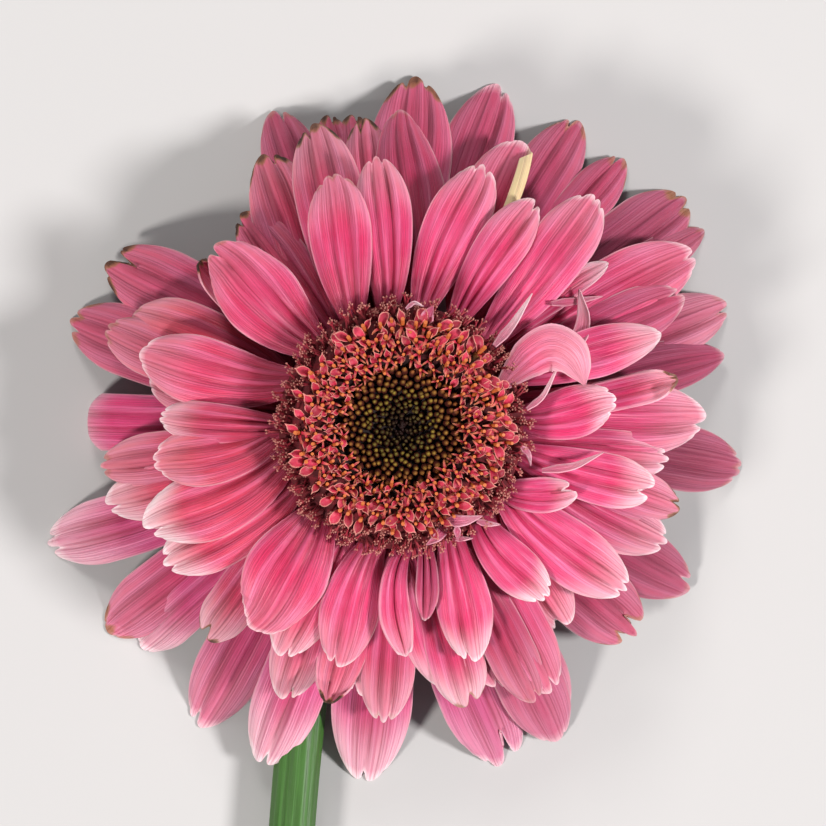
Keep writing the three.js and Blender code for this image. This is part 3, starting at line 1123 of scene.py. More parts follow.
        # Painted highlight: a bright band at the very tip of unburnt petals, left off petals with painted
        # shade.
        lit = 0.6 * smooth((share - 0.955) / 0.045) * (look.burn < 0.35) * (1 - look.painted_shade)
        return {
            "warm": np.full_like(side, look.warm),
            # Painted shade over a whole petal that lies in shade, a little less at the tip.
            "painted_shade": look.painted_shade * (1 - 0.25 * at_end),
            "foot": 1 - smooth((radius - 17.5) / depth),
            "pale": np.clip(look.pale * fade * (0.6 + 0.4 * np.abs(side)) + lit, 0, 1),
            "rim": ((np.abs(side) > 0.985) | (share > 0.995)) * smooth((share - 0.15) / 0.4),
            "burn": look.burn * smooth((share - 0.95 - 0.02 * np.sin(side * 9 + wave)) / 0.04),
        }

    def _shape(self, blade: Blade, look: PetalLook, side: np.ndarray, share: np.ndarray,
               draw: Random) -> tuple[np.ndarray, dict[str, np.ndarray]]:
        """Places a petal's points and works out its tint masks.

        Args:
            blade: Where it lies.
            look: Its tints and small shapes.
            side: -1 to 1 across it, for each point.
            share: 0 to 1 along it, for each point.
            draw: Its own random numbers.

        Returns:
            The points in millimetres round the head, and the masks by name.
        """
        root = blade.radii[0]
        length = (blade.radii[-1] - root) * look.stretch
        grooves, notches = self._lines(look, draw)
        run, half = self._cut(look, length, blade.width, side, share, notches)
        out, drop = self._curl(look, length, side, run, draw)
        radius = root + out
        px, py = polar(np.interp(radius, blade.radii, blade.bearing), radius)
        ahead_x, ahead_y = polar(np.interp(radius + 0.5, blade.radii, blade.bearing), radius + 0.5)
        forward = np.stack([ahead_x - px, ahead_y - py], 1)
        forward /= np.linalg.norm(forward, axis=1, keepdims=True)
        shift, lift, rolled = self._roll(look, side, share, half)
        x = px + forward[:, 1] * shift
        y = py - forward[:, 0] * shift
        left = np.interp(radius, blade.radii, blade.left)
        right = np.interp(radius, blade.radii, blade.right)
        crown = np.interp(radius, blade.radii, blade.middle)
        z = crown + (left - right) / 2 * side + ((left + right) / 2 - crown) * side**2
        z = z - drop + lift
        body = smooth(share / 0.16) * smooth((1.1 - share) / 0.3)
        relief = self._relief(grooves, notches, side, share, draw)
        z = z + relief * look.depth * body
        wave = draw.uniform(0, 6.28)
        ripple = np.sin(share * draw.uniform(7, 12) + wave) * np.abs(side) ** 3
        z = z + ripple * 0.22 * body + look.edge * np.abs(side) ** 3 * smooth(share / 0.35)
        z = np.maximum(z, self.thickness + 0.02)
        masks = self._tints(blade, look, side, share, radius, wave)
        masks["rolled"] = rolled
        # Painted shade: the pressed grooves are darkened in colour.
        masks["painted_groove_shade"] = np.clip(-relief, 0, 1) * body
        return np.stack([x, y, z], 1), masks


# Looks of the petals with a solid, row by row, in the order of their numbers.
LOOKS: dict[str, tuple[PetalLook, ...]] = {
    "outer": (
        PetalLook(Tip.TWO, 0.1, 0.12, 0.15, 0.5),
        PetalLook(Tip.FOUR, 0.1, 0.1, 0.5, 0.8),
        PetalLook(Tip.THREE, -0.45, 0.65, 0.15, 0.12, (0.7, 16)),
        PetalLook(Tip.TWO, -0.35, 0.3, 0.2, 0.28),
        PetalLook(Tip.CLEFT, -0.6, 0.3, 0.15, 0.3),
        PetalLook(Tip.TWO, 0.05, 0.1, 0.3, 0.8),
        PetalLook(Tip.FINE, 0.35, 0.08, 0.3, 0.85, (0.75, 26)),
        PetalLook(Tip.CLEFT, 0.35, 0.15, 0.75, 0.3),
        PetalLook(Tip.POINTS, 0.1, 0.12, 0.7, 0.32, (0.8, 10), grooves=(-0.5, -0.1, 0.4)),
        PetalLook(Tip.TWO, 0.1, 0.12, 0.5, 0.6),
        PetalLook(Tip.TWO, 0.1, 0.3, 0.35, 0.5),
        PetalLook(Tip.TWO, -0.45, 0.75, 0.1, 0.12, grooves=(0.0, 0.5), depth=0.6),
        PetalLook(Tip.ROUND, -0.1, 0.25, 0.5, 0.25, (0.75, 40)),
        PetalLook(Tip.TWO, -0.45, 0.7, 0.1, 0.15, grooves=(-0.45, 0.0, 0.42), depth=0.7),
        PetalLook(Tip.TORN, 0.1, 0.15, 0.5, 0.6),
        PetalLook(Tip.FINE, -0.3, 0.3, 0.15, 0.5),
        PetalLook(Tip.TWO, 0.15, 0.1, 0.4, 0.6, (0.75, 30)),
        PetalLook(Tip.ROUND, -0.3, 0.9, 0.0, 0.0, (0.66, 170), stretch=1.3),
    ),
    "middle": (
        PetalLook(Tip.TWO, 0.3, 0.25, 0.7, 0.2),
        PetalLook(Tip.POINT, 0.35, 0.05, 0.35, 0.45),
        PetalLook(Tip.TWO, 0.45, 0.25, 0.85, 0.15, (0.8, 20)),
        PetalLook(Tip.ROUND, 0.3, 0.2, 0.05, 0.15, roll=(-1, 170)),
        PetalLook(Tip.TWO, 0.05, 0.2, 0.1, 0.15, grooves=(-0.35, 0.05, 0.4)),
        PetalLook(Tip.POINTS, 0.1, 0.55, 0.2, 0.08),
        PetalLook(Tip.TWO, 0.0, 0.45, 0.1, 0.08),
        PetalLook(Tip.FORK, 0.4, 0.5, 0.25, 0.05, (0.75, 35)),
        PetalLook(Tip.THREE, 0.15, 0.25, 0.1, 0.4),
        PetalLook(Tip.TWO, 0.25, 0.6, 0.25, 0.08),
        PetalLook(Tip.TWO, 0.25, 0.6, 0.3, 0.1, (0.8, 30)),
        PetalLook(Tip.FORK, 0.45, 0.7, 0.7, 0.1, (0.72, 45)),
        PetalLook(Tip.TWO, 0.75, 0.8, 0.1, 0.05),
        PetalLook(Tip.ROUND, 0.85, 0.35, 0.35, 0.08, (0.75, 50)),
        PetalLook(Tip.TWO, 0.35, 0.35, 0.75, 0.12),
        PetalLook(Tip.TWO, 0.2, 0.25, 0.2, 0.2),
        PetalLook(Tip.FINE, 0.25, 0.65, 0.1, 0.1),
    ),
    "inner": (
        PetalLook(Tip.FINE, 0.05, 0.3, 0.25, grooves=(-0.4, 0.0, 0.4)),
        PetalLook(Tip.POINTS, 0.15, 0.3, 0.3),
        PetalLook(Tip.POINTS, 0.1, 0.6, 0.05, grooves=(-0.3, 0.3)),
        PetalLook(Tip.TWO, 0.4, 0.6, 0.1),
        PetalLook(Tip.THREE, 0.75, 0.95, 0.1),
        PetalLook(Tip.POINTS, 0.2, 0.4, 0.35),
        PetalLook(Tip.POINT, 0.0, 0.75, 0.0, edge=-0.5, depth=0.3),
        PetalLook(Tip.FORK, 0.15, 0.85, 0.1),
        PetalLook(Tip.TWO, 0.25, 0.35, 0.1, depth=0.6),
        PetalLook(Tip.TWO, 0.1, 0.85, 0.05),
        PetalLook(Tip.ROUND, 0.5, 0.3, 0.0, depth=0.35),
        PetalLook(Tip.TWO, 0.1, 0.35, 0.3),
        PetalLook(Tip.FINE, 0.25, 0.3, 0.35),
        PetalLook(Tip.TWO, 0.75, 1.2, 0.0),
        PetalLook(Tip.ROUND, 0.35, 0.2, 0.0, grooves=(-0.45, -0.1, 0.35)),
        PetalLook(Tip.FINE, 0.0, 0.75, 0.0, depth=0.5),
        PetalLook(Tip.FINE, 0.1, 1.0, 0.0, grooves=(0.05,), depth=0.8),
        PetalLook(Tip.POINT, 0.1, 0.4, 0.0, edge=0.9, grooves=(0.0,), depth=0.8),
        PetalLook(Tip.FINE, 0.8, 0.35, 0.0),
        PetalLook(Tip.TWO, 0.3, 0.2, 0.35, grooves=(-0.45, -0.1, 0.35)),
    ),
}

# Petals without a solid of their own:
# name, row, bearing near the disc, of the tip, distance of the tip, width, lift of the tip, look.
EXTRAS: tuple[tuple[str, str, float, float, float, float, float, PetalLook], ...] = (
    ("petal_back_01", "outer", 99, 99, 52, 8, 0, PetalLook(Tip.TWO, 0.2, 0.1, 0.8, 0.35, (0.8, 40))),
    ("petal_back_02", "outer", 104, 103.3, 52.5, 7, 0, PetalLook(Tip.TWO, 0.2, 0.1, 0.8, 0.3, (0.8, 40))),
    ("petal_back_03", "outer", 51, 50.4, 57, 8, 0, PetalLook(Tip.TWO, 0.1, 0.1, 0.5, 0.55)),
    ("petal_back_04", "outer", 34, 33, 58.9, 7, 0, PetalLook(Tip.POINT, 0.2, 0.15, 0.4, 0.75)),
    ("petal_back_05", "outer", 13, 12.5, 54, 9, 0, PetalLook(Tip.POINT, 0.05, 0.05, 0.1, 0.8)),
    ("petal_back_06", "outer", 164, 162, 57, 11.5, 0, PetalLook(Tip.THREE, 0.2, 0.15, 0.5, 0.45)),
    ("petal_back_07", "outer", 219, 220.5, 56.6, 8, 0, PetalLook(Tip.ROUND, -0.4, 0.8, 0.2, 0.1, (0.7, 50))),
    ("petal_back_08", "outer", 297, 296.5, 57.3, 11, 0, PetalLook(Tip.ROUND, -0.3, 0.2, 0.2, 0.55)),
    ("petal_mid_01", "middle", 26, 25, 50.4, 9, 0, PetalLook(Tip.TWO, 0.1, 0.1, 0.3, 0.5)),
    ("petal_mid_02", "middle", 7, 10, 46, 5, 2,
     PetalLook(Tip.POINT, 0.1, 0.7, 0.6, 0.0, (0.7, -50), edge=0.8)),
    ("petal_mid_03", "middle", 352, 353, 43.4, 8, 0, PetalLook(Tip.POINTS, 0.1, 0.6, 0.1, 0.1)),
    ("petal_mid_04", "middle", 345, 343.5, 47.5, 8, 0.5, PetalLook(Tip.TWO, 0.1, 0.4, 0.75, 0.1, (0.75, 45))),
    ("petal_mid_05", "middle", 296, 296, 49.5, 8, 0, PetalLook(Tip.TWO, 0.35, 0.25, 0.35, 0.45)),
    ("petal_mid_06", "middle", 283, 283.5, 47.4, 9, 0, PetalLook(Tip.FORK, 0.3, 0.9, 0.5, 0.1, (0.8, 50))),
    ("petal_mid_07", "middle", 267, 266.5, 48, 9, 0, PetalLook(Tip.POINTS, 0.35, 0.45, 0.3, 0.2)),
    ("petal_mid_08", "middle", 256, 255, 47.1, 8, 0.5, PetalLook(Tip.POINT, 0.4, 0.35, 0.8, 0.1, (0.7, -60))),
    ("petal_mid_09", "middle", 188, 187.5, 49, 9, 0, PetalLook(Tip.POINTS, 0.6, 0.35, 0.45, 0.15)),
    ("petal_mid_10", "middle", 172, 169.5, 41.1, 8, 0, PetalLook(Tip.ROUND, 0.6, 0.35, 0.1, 0.15)),
    ("petal_mid_11", "middle", 165, 161.5, 50.3, 9, 0, PetalLook(Tip.FINE, 0.6, 0.25, 0.4, 0.2)),
    ("petal_mid_12", "middle", 143, 140.5, 42.3, 6, 0.5,
     PetalLook(Tip.POINT, 0.6, 0.1, 0.9, 0.2, (0.75, -50), edge=1.0)),
    ("petal_mid_13", "middle", 126, 127, 43, 10, 0, PetalLook(Tip.TWO, 0.5, 0.1, 0.85, 0.25)),
    ("petal_small_02", "over", 327, 341, 30, 5.8, 1.5, PetalLook(Tip.FORK, 0.0, 0.7, 0.0, 0.0, edge=0.4)),
    ("petal_small_03", "inner", 282, 277, 31, 3.8, 0, PetalLook(Tip.POINT, 0.2, 0.1, 0.0, 0.35, edge=0.4)),
    ("petal_small_04", "inner", 180, 177.6, 38.6, 6.5, 0, PetalLook(Tip.FINE, 0.6, 0.7, 0.0, 0.0)),
    ("petal_small_05", "middle", 43, 38.3, 42.4, 3.8, 1.2,
     PetalLook(Tip.POINT, 0.0, 0.8, 0.0, 0.0, edge=0.5)),
    ("petal_small_06", "middle", 41, 38.5, 39.6, 3.4, 0.8,
     PetalLook(Tip.POINT, 0.0, 0.6, 0.0, 0.1, edge=0.5)),
)

# Slivers over the petals: name, then [bearing, distance, height above what lies there] of three
# to five points, the width, and how pale its end is.
SLIVERS: tuple[tuple[str, tuple[tuple[float, float, float], ...], float, float], ...] = (
    ("petal_twisted",
     ((23, 17.6, 0.2), (28.5, 22.8, 3.0), (29, 27.2, 4.2), (22, 29.6, 3.6), (13, 29.8, 1.0)), 7.8, 0.35),
    ("sliver_01", ((41, 19.5, 2.2), (42.5, 24, 2.2), (45.5, 29.6, 1.4)), 1.4, 0.9),
    ("sliver_02", ((8, 20.0, 1.8), (12, 23.0, 3.0), (22, 27, 1.8)), 0.9, 0.7),
    ("sliver_03", ((24, 30.5, 1.2), (30.6, 33.8, 3.4), (37.7, 35.8, 2.6)), 2.6, 0.5),
    ("sliver_04", ((39.3, 30.8, 0.6), (35.5, 34.5, 1.0), (32.9, 38.3, 0.7)), 1.3, 0.3),
    ("sliver_06", ((342.8, 23.3, 1.6), (347, 28, 2.8), (352.8, 32.3, 1.6)), 1.3, 0.5),
    ("sliver_07", ((350.5, 19.3, 1.6), (348.3, 20.6, 2.4), (343.3, 21.4, 1.3)), 1.0, 0.6),
    ("sliver_08", ((296, 16.4, 2.0), (304, 17.8, 2.8), (312.5, 19.0, 2.2)), 1.9, 0.35),
    ("sliver_09", ((294.5, 17.0, 1.9), (289, 18.2, 2.2), (282, 19.0, 1.2)), 1.8, 0.2),
    ("sliver_10", ((299.2, 18.0, 2.2), (297.8, 19.1, 2.0), (296.6, 20.1, 1.4)), 1.1, 0.3),
    ("sliver_11", ((296, 19.7, 1.5), (299, 20.2, 1.7), (302.8, 20.9, 1.3)), 0.8, 0.4),
    ("sliver_12", ((309, 19.1, 1.8), (312, 20.6, 2.2), (315.5, 22.0, 1.2)), 1.0, 0.6),
    ("sliver_13", ((87.5, 18.6, 1.6), (84, 19.8, 2.4), (79.4, 19.3, 1.6)), 0.6, 0.8),
    ("sliver_14", ((77, 16.6, 1.8), (76.5, 18.2, 2.6), (75, 19.8, 1.8)), 2.2, 0.1),
)


@dataclass
class FlowerHead:
    """All the petals of the head, from the table up."""

    solids: Solids
    maker: PetalMaker

    def build(self) -> None:
        """Builds the petals that stand for solids, the extra ones and the slivers."""
        names = [n for row in ROWS for n in self.solids.row_nodes[row]]
        blades = {n: Blade.measured(self.solids, n) for n in names}
        learn_rows(self.solids, blades)
        for name in names:
            _, row, number = name.split("_")
            look = LOOKS[row][int(number) - 1]
            self.maker.make(f"blade_{row}_{number}", blades[name], look, f"petal_{row}", (name,))
        for name, row, root, tip, reach, width, lift, look in EXTRAS:
            blade = Blade.laid(self.solids, row, root, tip, reach, width, lift)
            slot = "petal_inner" if row == "over" else f"petal_{row}"
            self.maker.make(name, blade, look, slot)
        for name, line, width, pale in SLIVERS:
            self._sliver(name, line, width, pale)

    def _sliver(self, name: str, line: Sequence[tuple[float, float, float]], width: float,
                pale: float) -> None:
        """Makes one narrow curled petal.

        Args:
            name: The piece's name.
            line: Bearing, distance and height above the petals of a few points.
            width: The width in millimetres.
            pale: How pale its end is.
        """
        spots = []
        for bearing, distance, height in line:
            x, y = polar(bearing, distance)
            ground = self.solids.top(self.solids.all, x, y) or 20.0
            spots.append((x, y, ground + height))
        control = np.array(spots)
        wide = width > 4
        piece, side, share = Bench.sheet(name, *((16, 36) if wide else (6, 20)))
        stops = np.linspace(0, 1, len(control))
        fine = np.linspace(0, 1, 41)
        path = np.stack([eased(np.interp(fine, stops, control[:, i]), 30) for i in range(3)], 1)
        centre = np.stack([np.interp(share, fine, path[:, i]) for i in range(3)], 1)
        ahead = np.stack([np.interp(share, fine, np.gradient(path[:, i])) for i in range(3)], 1)
        across = np.cross(np.array([0, 0, 1.0]), ahead)
        across /= np.linalg.norm(across, axis=1, keepdims=True)
        places, widths = [0, 0.25, 0.6, 0.9, 1], [0.45, 1.0, 0.7, 0.24, 0.03]
        if wide:
            places, widths = [0, 0.25, 0.5, 0.72, 0.88, 1], [0.3, 0.8, 0.98, 0.84, 0.48, 0.04]
        half = width / 2 * np.interp(share, places, widths)
        points = centre + across * (side * half)[:, None]
        points[:, 2] += half * (-0.3 if wide else 0.5) * side**2
        Bench.place(piece, self.solids.world(points))
        # The dark foot is partly the sliver's own crimson and partly painted shade near the disc.
        foot = 0.85 * (1 - smooth(share / 0.32)) if wide else 0.3 * (1 - smooth(share / 0.5))
        masks: dict[str, Any] = dict.fromkeys(("warm", "painted_shade", "burn", "rolled", "painted_groove_shade"), 0.0)
        masks["foot"] = foot
        # The pale end is partly the sliver's own colour and partly painted light that brightens it.
        masks["pale"] = pale * (0.3 + 0.7 * smooth((share - 0.2) / 0.6))
        masks["rim"] = smooth((np.abs(side) - 0.75) / 0.2)
        for key, values in masks.items():
            Bench.store(piece, key, values)
        Bench.modify(piece, "SOLIDIFY", thickness=0.24 * MM, offset=0)
        Bench.store(piece, "under", 0.0)
        Bench.smooth(piece, 60)
        Bench.hand_over(piece, self.maker.material, "petal_inner")


# ---- Stem and bracts -----------------------------------------------------------------------


@dataclass
class Stem:
    """The stem: a ribbed tube that follows its solid from the neck to the cut end."""

    solids: Solids
    sides: int = 48
    ribs: int = 11
    step: float = 2.0
    rays: int = 16
    widest: float = 9.0

    def centreline(self) -> tuple[np.ndarray, np.ndarray]:
        """Feels its way down the inside of the solid.

        Returns:
            Points along the middle, and the radius at each, in millimetres.
        """
        tree = self.solids.trees["stem"]
        here = Vector((0, 0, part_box("receptacle")[0].z / MM - 1.2))
        heading = Vector((0, 0, -1))
        points, radii = [], []
        while len(points) < 400:
            side = heading.cross(Vector((1, 0.3, 0.1))).normalized()
            other = heading.cross(side)
            hits = []
            for i in range(self.rays):
                a = math.tau * i / self.rays
                way = side * math.cos(a) + other * math.sin(a)
                hit = tree.ray_cast(here, way)[0]
                if hit is None or (hit - here).length > self.widest:
                    break
                hits.append(hit)
            if len(hits) < self.rays:
                break
            centre = sum(hits, Vector()) / self.rays
            points.append(centre)
            radii.append(sum((h - centre).length for h in hits) / self.rays)
            if len(points) > 1:
                heading = (points[-1] - points[-2]).normalized()
            ahead = tree.ray_cast(centre, heading)[0]
            if ahead is not None and (ahead - centre).length < self.step * 1.2 and len(points) > 40:
                points.append(ahead)
                radii.append(radii[-1])
                break
            here = centre + heading * self.step
        line = np.array([tuple(p) for p in points])
        return np.stack([eased(line[:, i], 3) for i in range(3)], 1), eased(np.array(radii), 6)

    def build(self, material: Any) -> None:
        """Shapes the stem.

        Args:
            material: Its finish.
        """
        line, radii = self.centreline()
        line = np.vstack([line[0] + np.array([0, 0, 1.4]), line])
        radii = np.concatenate([[radii[0]], radii])
        ahead = np.gradient(line, axis=0)
        ahead /= np.linalg.norm(ahead, axis=1, keepdims=True)
        # rings of the closed top and of the cut end: share of the radius, and how far back
        rings = [(0, 0.0, 0.0)] + [(i, 1.0, 0.0) for i in range(len(line))]
        cut_end = ((0.94, 0.0), (0.88, 0.14), (0.56, 0.04), (0.46, 0.7), (0.0, 0.85))
        rings += [(-1, wide, back) for wide, back in cut_end]
        piece = Bench.grid("flower_stem", self.sides, len(rings) - 1)
        flat = Bench.coordinates(piece)
        angle = (flat[:, 0] + 0.5) * math.tau
        ring = np.rint((flat[:, 1] + 0.5) * (len(rings) - 1)).astype(int)
        place = np.array([r[0] for r in rings])[ring] % len(line)
        factor = np.array([r[1] for r in rings])[ring]
        back = np.array([r[2] for r in rings])[ring]
        side = np.cross(ahead, np.array([1.0, 0.3, 0.1]))
        side /= np.linalg.norm(side, axis=1, keepdims=True)
        other = np.cross(ahead, side)
        share = place / (len(line) - 1)
        rib = 0.11 * np.sin(angle * self.ribs + 0.6 * np.sin(share * 9))
        rib += 0.05 * np.sin(angle * 3 + share * 14)
        radius = (radii[place] * (1 + 0.012 * np.sin(share * 37)) + rib - 0.1) * factor
        points = line[place] + side[place] * (np.cos(angle) * radius)[:, None] - ahead[place] * back[:, None]
        points += other[place] * (np.sin(angle) * radius)[:, None]
        slant = smooth((share - 0.985) / 0.015)
        points[:, 1] += slant * 0.4 * (points[:, 0] - line[place][:, 0])
        points[:, 2] = np.maximum(points[:, 2], 0.03)
        Bench.place(piece, self.solids.world(points))
        core = (factor < 0.9) & (place > 0)
        left = np.linalg.norm(line[place] - line[-1], axis=1)
        Bench.store(piece, "cut", core * 0.9)
        Bench.store(piece, "burn", np.where(core, 0.5 * (factor < 0.5), 0.75 * (1 - smooth(left / 3.5))))
        Bench.outward(piece, weld=0.000002)
        Bench.smooth(piece, 40)
        Bench.hand_over(piece, material, "stem", ("stem",))


@dataclass
class Bracts:
    """Whorls of narrow green bracts round the cup, under the petals."""

    solids: Solids
    whorls: tuple[tuple[str, int, float, float, float], ...] = (
        ("bracts_lower", 12, 0.0, 8.5, 3.4),
        ("bracts_middle", 16, 11.0, 11.5, 3.6),
        ("bracts_upper", 20, 4.0, 14.0, 3.2),
    )

    def pattern(self, length: float, width: float) -> Any:
        """Models one bract that lies along +X with its foot at the origin.

        Args:
            length: Its length in millimetres.
            width: Its width in millimetres.

        Returns:
            The piece.
        """
        piece, side, share = Bench.sheet("bract", 6, 12)
        half = width / 2 * np.interp(share, [0, 0.35, 0.7, 0.92, 1], [0.75, 1, 0.8, 0.32, 0.05])
        z = 0.5 * (1 - side**2) + 0.35 * np.exp(-((side / 0.25) ** 2)) * (1 - share)
        points = np.stack([share * length, side * half, z], 1) * MM
        Bench.place(piece, points)
        Bench.store(piece, "rim", smooth((np.abs(side) - 0.7) / 0.25))
        Bench.store(piece, "pale", smooth((share - 0.72) / 0.25))
        Bench.modify(piece, "SOLIDIFY", thickness=0.35 * MM, offset=-1)
        return piece

    def build(self, material: Any) -> None:
        """Lays the whorls against the cup.

        Args:
            material: Their finish.
        """
        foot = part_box("receptacle")[0].z / MM
        draw = Random(77)
        for level, (name, count, turn, length, width) in enumerate(self.whorls):
            pattern = self.pattern(length, width)
            rest = Bench.coordinates(pattern) / MM
            copies = []
            for i in range(count):
                bearing = turn + 360 * i / count + draw.uniform(-2.5, 2.5)
                stretch = draw.uniform(0.92, 1.08)
                made = Bench.copy(pattern, Matrix.Identity(4), {})
                run = rest[:, 0] * stretch
                lie = 4.8 + 0.8 * level
                # the bract follows the bowl of the cup: out, then up
                out = lie + 13.6 * np.sin(np.clip(run / 17.0, 0, 1.2))
                up = foot + 0.2 + 8.2 * (run / 14.0) ** 1.9 - rest[:, 2] * 0.9
                angle = math.radians(bearing)
                x = out * math.cos(angle) - rest[:, 1] * math.sin(angle)
                y = out * math.sin(angle) + rest[:, 1] * math.cos(angle)
                Bench.place(made, self.solids.world(np.stack([x, y, up - 0.3], 1)))
                copies.append(made)
            bpy.data.objects.remove(pattern)
            piece = Bench.join(copies, name)
            Bench.outward(piece)
            Bench.smooth(piece, 60)
            Bench.hand_over(piece, material, "receptacle")


# ---- Disc ----------------------------------------------------------------------------------


@dataclass
class Disc:
    """The disc: packed buds in the eye, open florets round them and a withered fringe.

    eye is the radius of the bud field in mm, and spiral the turn from one floret to the next.
    """

    solids: Solids
    buds: int = 340
    eye: float = 9.5
    florets: int = 225
    withered: int = 460
    spiral: float = 137.508

    def _ground(self, x: float, y: float, name: str, otherwise: float) -> float:
        """Height of a solid's top at a place, or a stated height off it."""
        height = self.solids.top(self.solids.trees[name], x, y)
        return otherwise if height is None else height

    def _set(self, x: float, y: float, z: float, bearing: float, tilt: float, size: float,
             turn: float = 0.0) -> Matrix:
        """Where a copy of an upright pattern goes.

        Args:
            x: Place, in millimetres round the head.
            y: Place.
            z: Height of its foot.
            bearing: The way it leans, in degrees.
            tilt: How far it leans, in degrees.
            size: Its scale.
            turn: How far it is turned about itself, in degrees.

        Returns:
            The matrix.
        """
        place = self.solids.world(np.array([[x, y, z]]))[0]
        lean = Matrix.Rotation(math.radians(bearing), 4, "Z") @ Matrix.Rotation(math.radians(tilt), 4, "Y")
        spin = Matrix.Rotation(math.radians(turn), 4, "Z")
        return Matrix.Translation(place) @ lean @ spin @ Matrix.Scale(size, 4)

    def bud_pattern(self) -> Any:
        """Models one bud, upright with its foot at the origin."""
        Bench.clear()
        bpy.ops.mesh.primitive_uv_sphere_add(segments=7, ring_count=6, radius=0.68 * MM)
        piece = bpy.context.object
        points = Bench.coordinates(piece) / MM
        height = (points[:, 2] / 0.68 + 1) / 2
        points[:, :2] *= (1.0 - 0.45 * height**2)[:, None]
        points[:, 2] = height * 2.5
        Bench.place(piece, points * MM)
        Bench.store(piece, "tip", height)
        Bench.smooth(piece, 80)
        return piece

    def floret_pattern(self, lip: tuple[float, float, float], inner: float, anther: float) -> Any:
        """Models one open floret: a tube, a broad lip, two thin lobes and the anther column.

        Args:
            lip: Width, length and curl of the broad lip, in millimetres and degrees.
            inner: Length of the two thin lobes, which curl the other way.
            anther: How far the anthers stand out of the tube, in millimetres.

        Returns:
            The piece, upright with its foot at the origin, its lip towards +X.
        """
        Bench.clear()
        bpy.ops.mesh.primitive_cone_add(vertices=7, radius1=0.3 * MM, radius2=0.5 * MM, depth=3.6 * MM,
                                        location=(0, 0, 1.8 * MM))
        tube = bpy.context.object
        for polygon in tube.data.polygons:
            polygon.select = polygon.normal.z > 0.9
        bpy.ops.object.mode_set(mode="EDIT")
        bpy.ops.mesh.select_mode(type="FACE")
        bpy.ops.mesh.inset(thickness=0.12 * MM, depth=-0.5 * MM)
        bpy.ops.object.mode_set(mode="OBJECT")
        Bench.store(tube, "tip", Bench.coordinates(tube)[:, 2] / MM / 3.6 * 0.5)
        Bench.store(tube, "gold", 0.0)
        pieces = [tube, self._lobe(0, *lip, cells=(4, 6), broad=True)]
        pieces += [self._lobe(bearing, 0.42, inner, 165, cells=(2, 6)) for bearing in (150, 212)]
        Bench.clear()
        bpy.ops.mesh.primitive_cylinder_add(vertices=6, radius=0.24 * MM, depth=(anther + 1) * MM,
                                            location=(0, 0, (3.1 + anther / 2) * MM))
        column = bpy.context.object
        points = Bench.coordinates(column)
        grow = np.clip((points[:, 2] / MM - 2.6) / (anther + 1), 0, 1)
        points[:, :2] *= (1.2 - 0.35 * grow)[:, None]
        points[:, 0] += 1.3 * grow**1.6 * MM
        Bench.place(column, points)
        Bench.store(column, "tip", grow)
        Bench.store(column, "gold", 1.0)
        piece = Bench.join([*pieces, column], "floret")
        Bench.smooth(piece, 50)
        return piece

    def _lobe(self, bearing: float, width: float, length: float, curl: float,
              cells: tuple[int, int] = (2, 5), broad: bool = False) -> Any:
        """Models one curled lobe at the mouth of a floret's tube.

        Args:
            bearing: The way it curls, in degrees.
            width: Its width in millimetres.
            length: Its length in millimetres.
            curl: How far it curls from upright, in degrees.
            cells: Faces across and along.
            broad: Whether it is widest near its end, with three teeth.

        Returns:
            The lobe.
        """
        lobe, side, share = Bench.sheet("lobe", *cells)
        widths = [0.4, 0.85, 1.0, 0.5] if broad else [1.0, 0.95, 0.7, 0.2]
        half = width / 2 * np.interp(share, [0, 0.35, 0.75, 1], widths)
        run = share * length
        if broad:
            run = run + 0.16 * np.cos(math.tau * side) * share**3 - 0.65 * side**2 * share**2
        bend = math.radians(curl) / length
        turn = run * bend
        rise = 0.16 * side**2 * width
        out = 0.4 + (1 - np.cos(turn)) / bend - rise * np.cos(turn) * 0.7
        up = 3.5 + np.sin(turn) / bend + rise * np.sin(turn)
        angle = math.radians(bearing)
        x = out * math.cos(angle) - side * half * math.sin(angle)
        y = out * math.sin(angle) + side * half * math.cos(angle)
        Bench.place(lobe, np.stack([x, y, up], 1) * MM)
        edge = np.abs(side) ** 3 * 0.94 if broad else 0 * side
        Bench.store(lobe, "tip", 0.5 + 0.5 * np.maximum(share**1.6, edge))
        Bench.store(lobe, "gold", 0.0 if broad else 0.3 * smooth((share - 0.2) / 0.6))
        Bench.modify(lobe, "SOLIDIFY", thickness=0.1 * MM, offset=0)
        return lobe

    def withered_pattern(self, bend: float, spread: float) -> Any:
        """Models one withered floret: a bent tube with shrivelled ends and a two-headed style.

        Args:
            bend: How far it leans over, in degrees.
            spread: How far the ends stand apart, from 0 to 1.

        Returns:
            The piece, its foot at the origin, bending towards +X.
        """
        pieces = [self._thread((0, 0), (0, 0), 0.0, 2.7, 0.3)]
        ends = ((0.45, 0.1, 1.0, 0.12), (-0.2, 0.4, 0.8, 0.14), (-0.15, -0.45, 0.9, 0.13),
                (0.25, -0.25, 1.5, 0.09))
        for x, y, length, radius in ends:
            pieces.append(self._thread((x * 0.4, y * 0.4), (x * spread, y * spread), 2.5, length, radius))
            Bench.clear()
            bpy.ops.mesh.primitive_ico_sphere_add(subdivisions=1, radius=radius * 1.7 * MM)
            knob = bpy.context.object
            tip = np.array([x * (0.4 + spread * length), y * (0.4 + spread * length), 2.5 + length * 0.92])
            Bench.place(knob, Bench.coordinates(knob) + tip * MM)
            Bench.store(knob, "tip", 1.0)
            pieces.append(knob)
        piece = Bench.join(pieces, "withered")
        points = Bench.coordinates(piece) / MM
        rate = math.radians(bend) / 4.0
        turn = points[:, 2] * rate
        x = (1 - np.cos(turn)) / rate + points[:, 0] * np.cos(turn)
        z = np.sin(turn) / rate - points[:, 0] * np.sin(turn)
        Bench.place(piece, np.stack([x, points[:, 1], z], 1) * MM)
        Bench.smooth(piece, 80)
        return piece

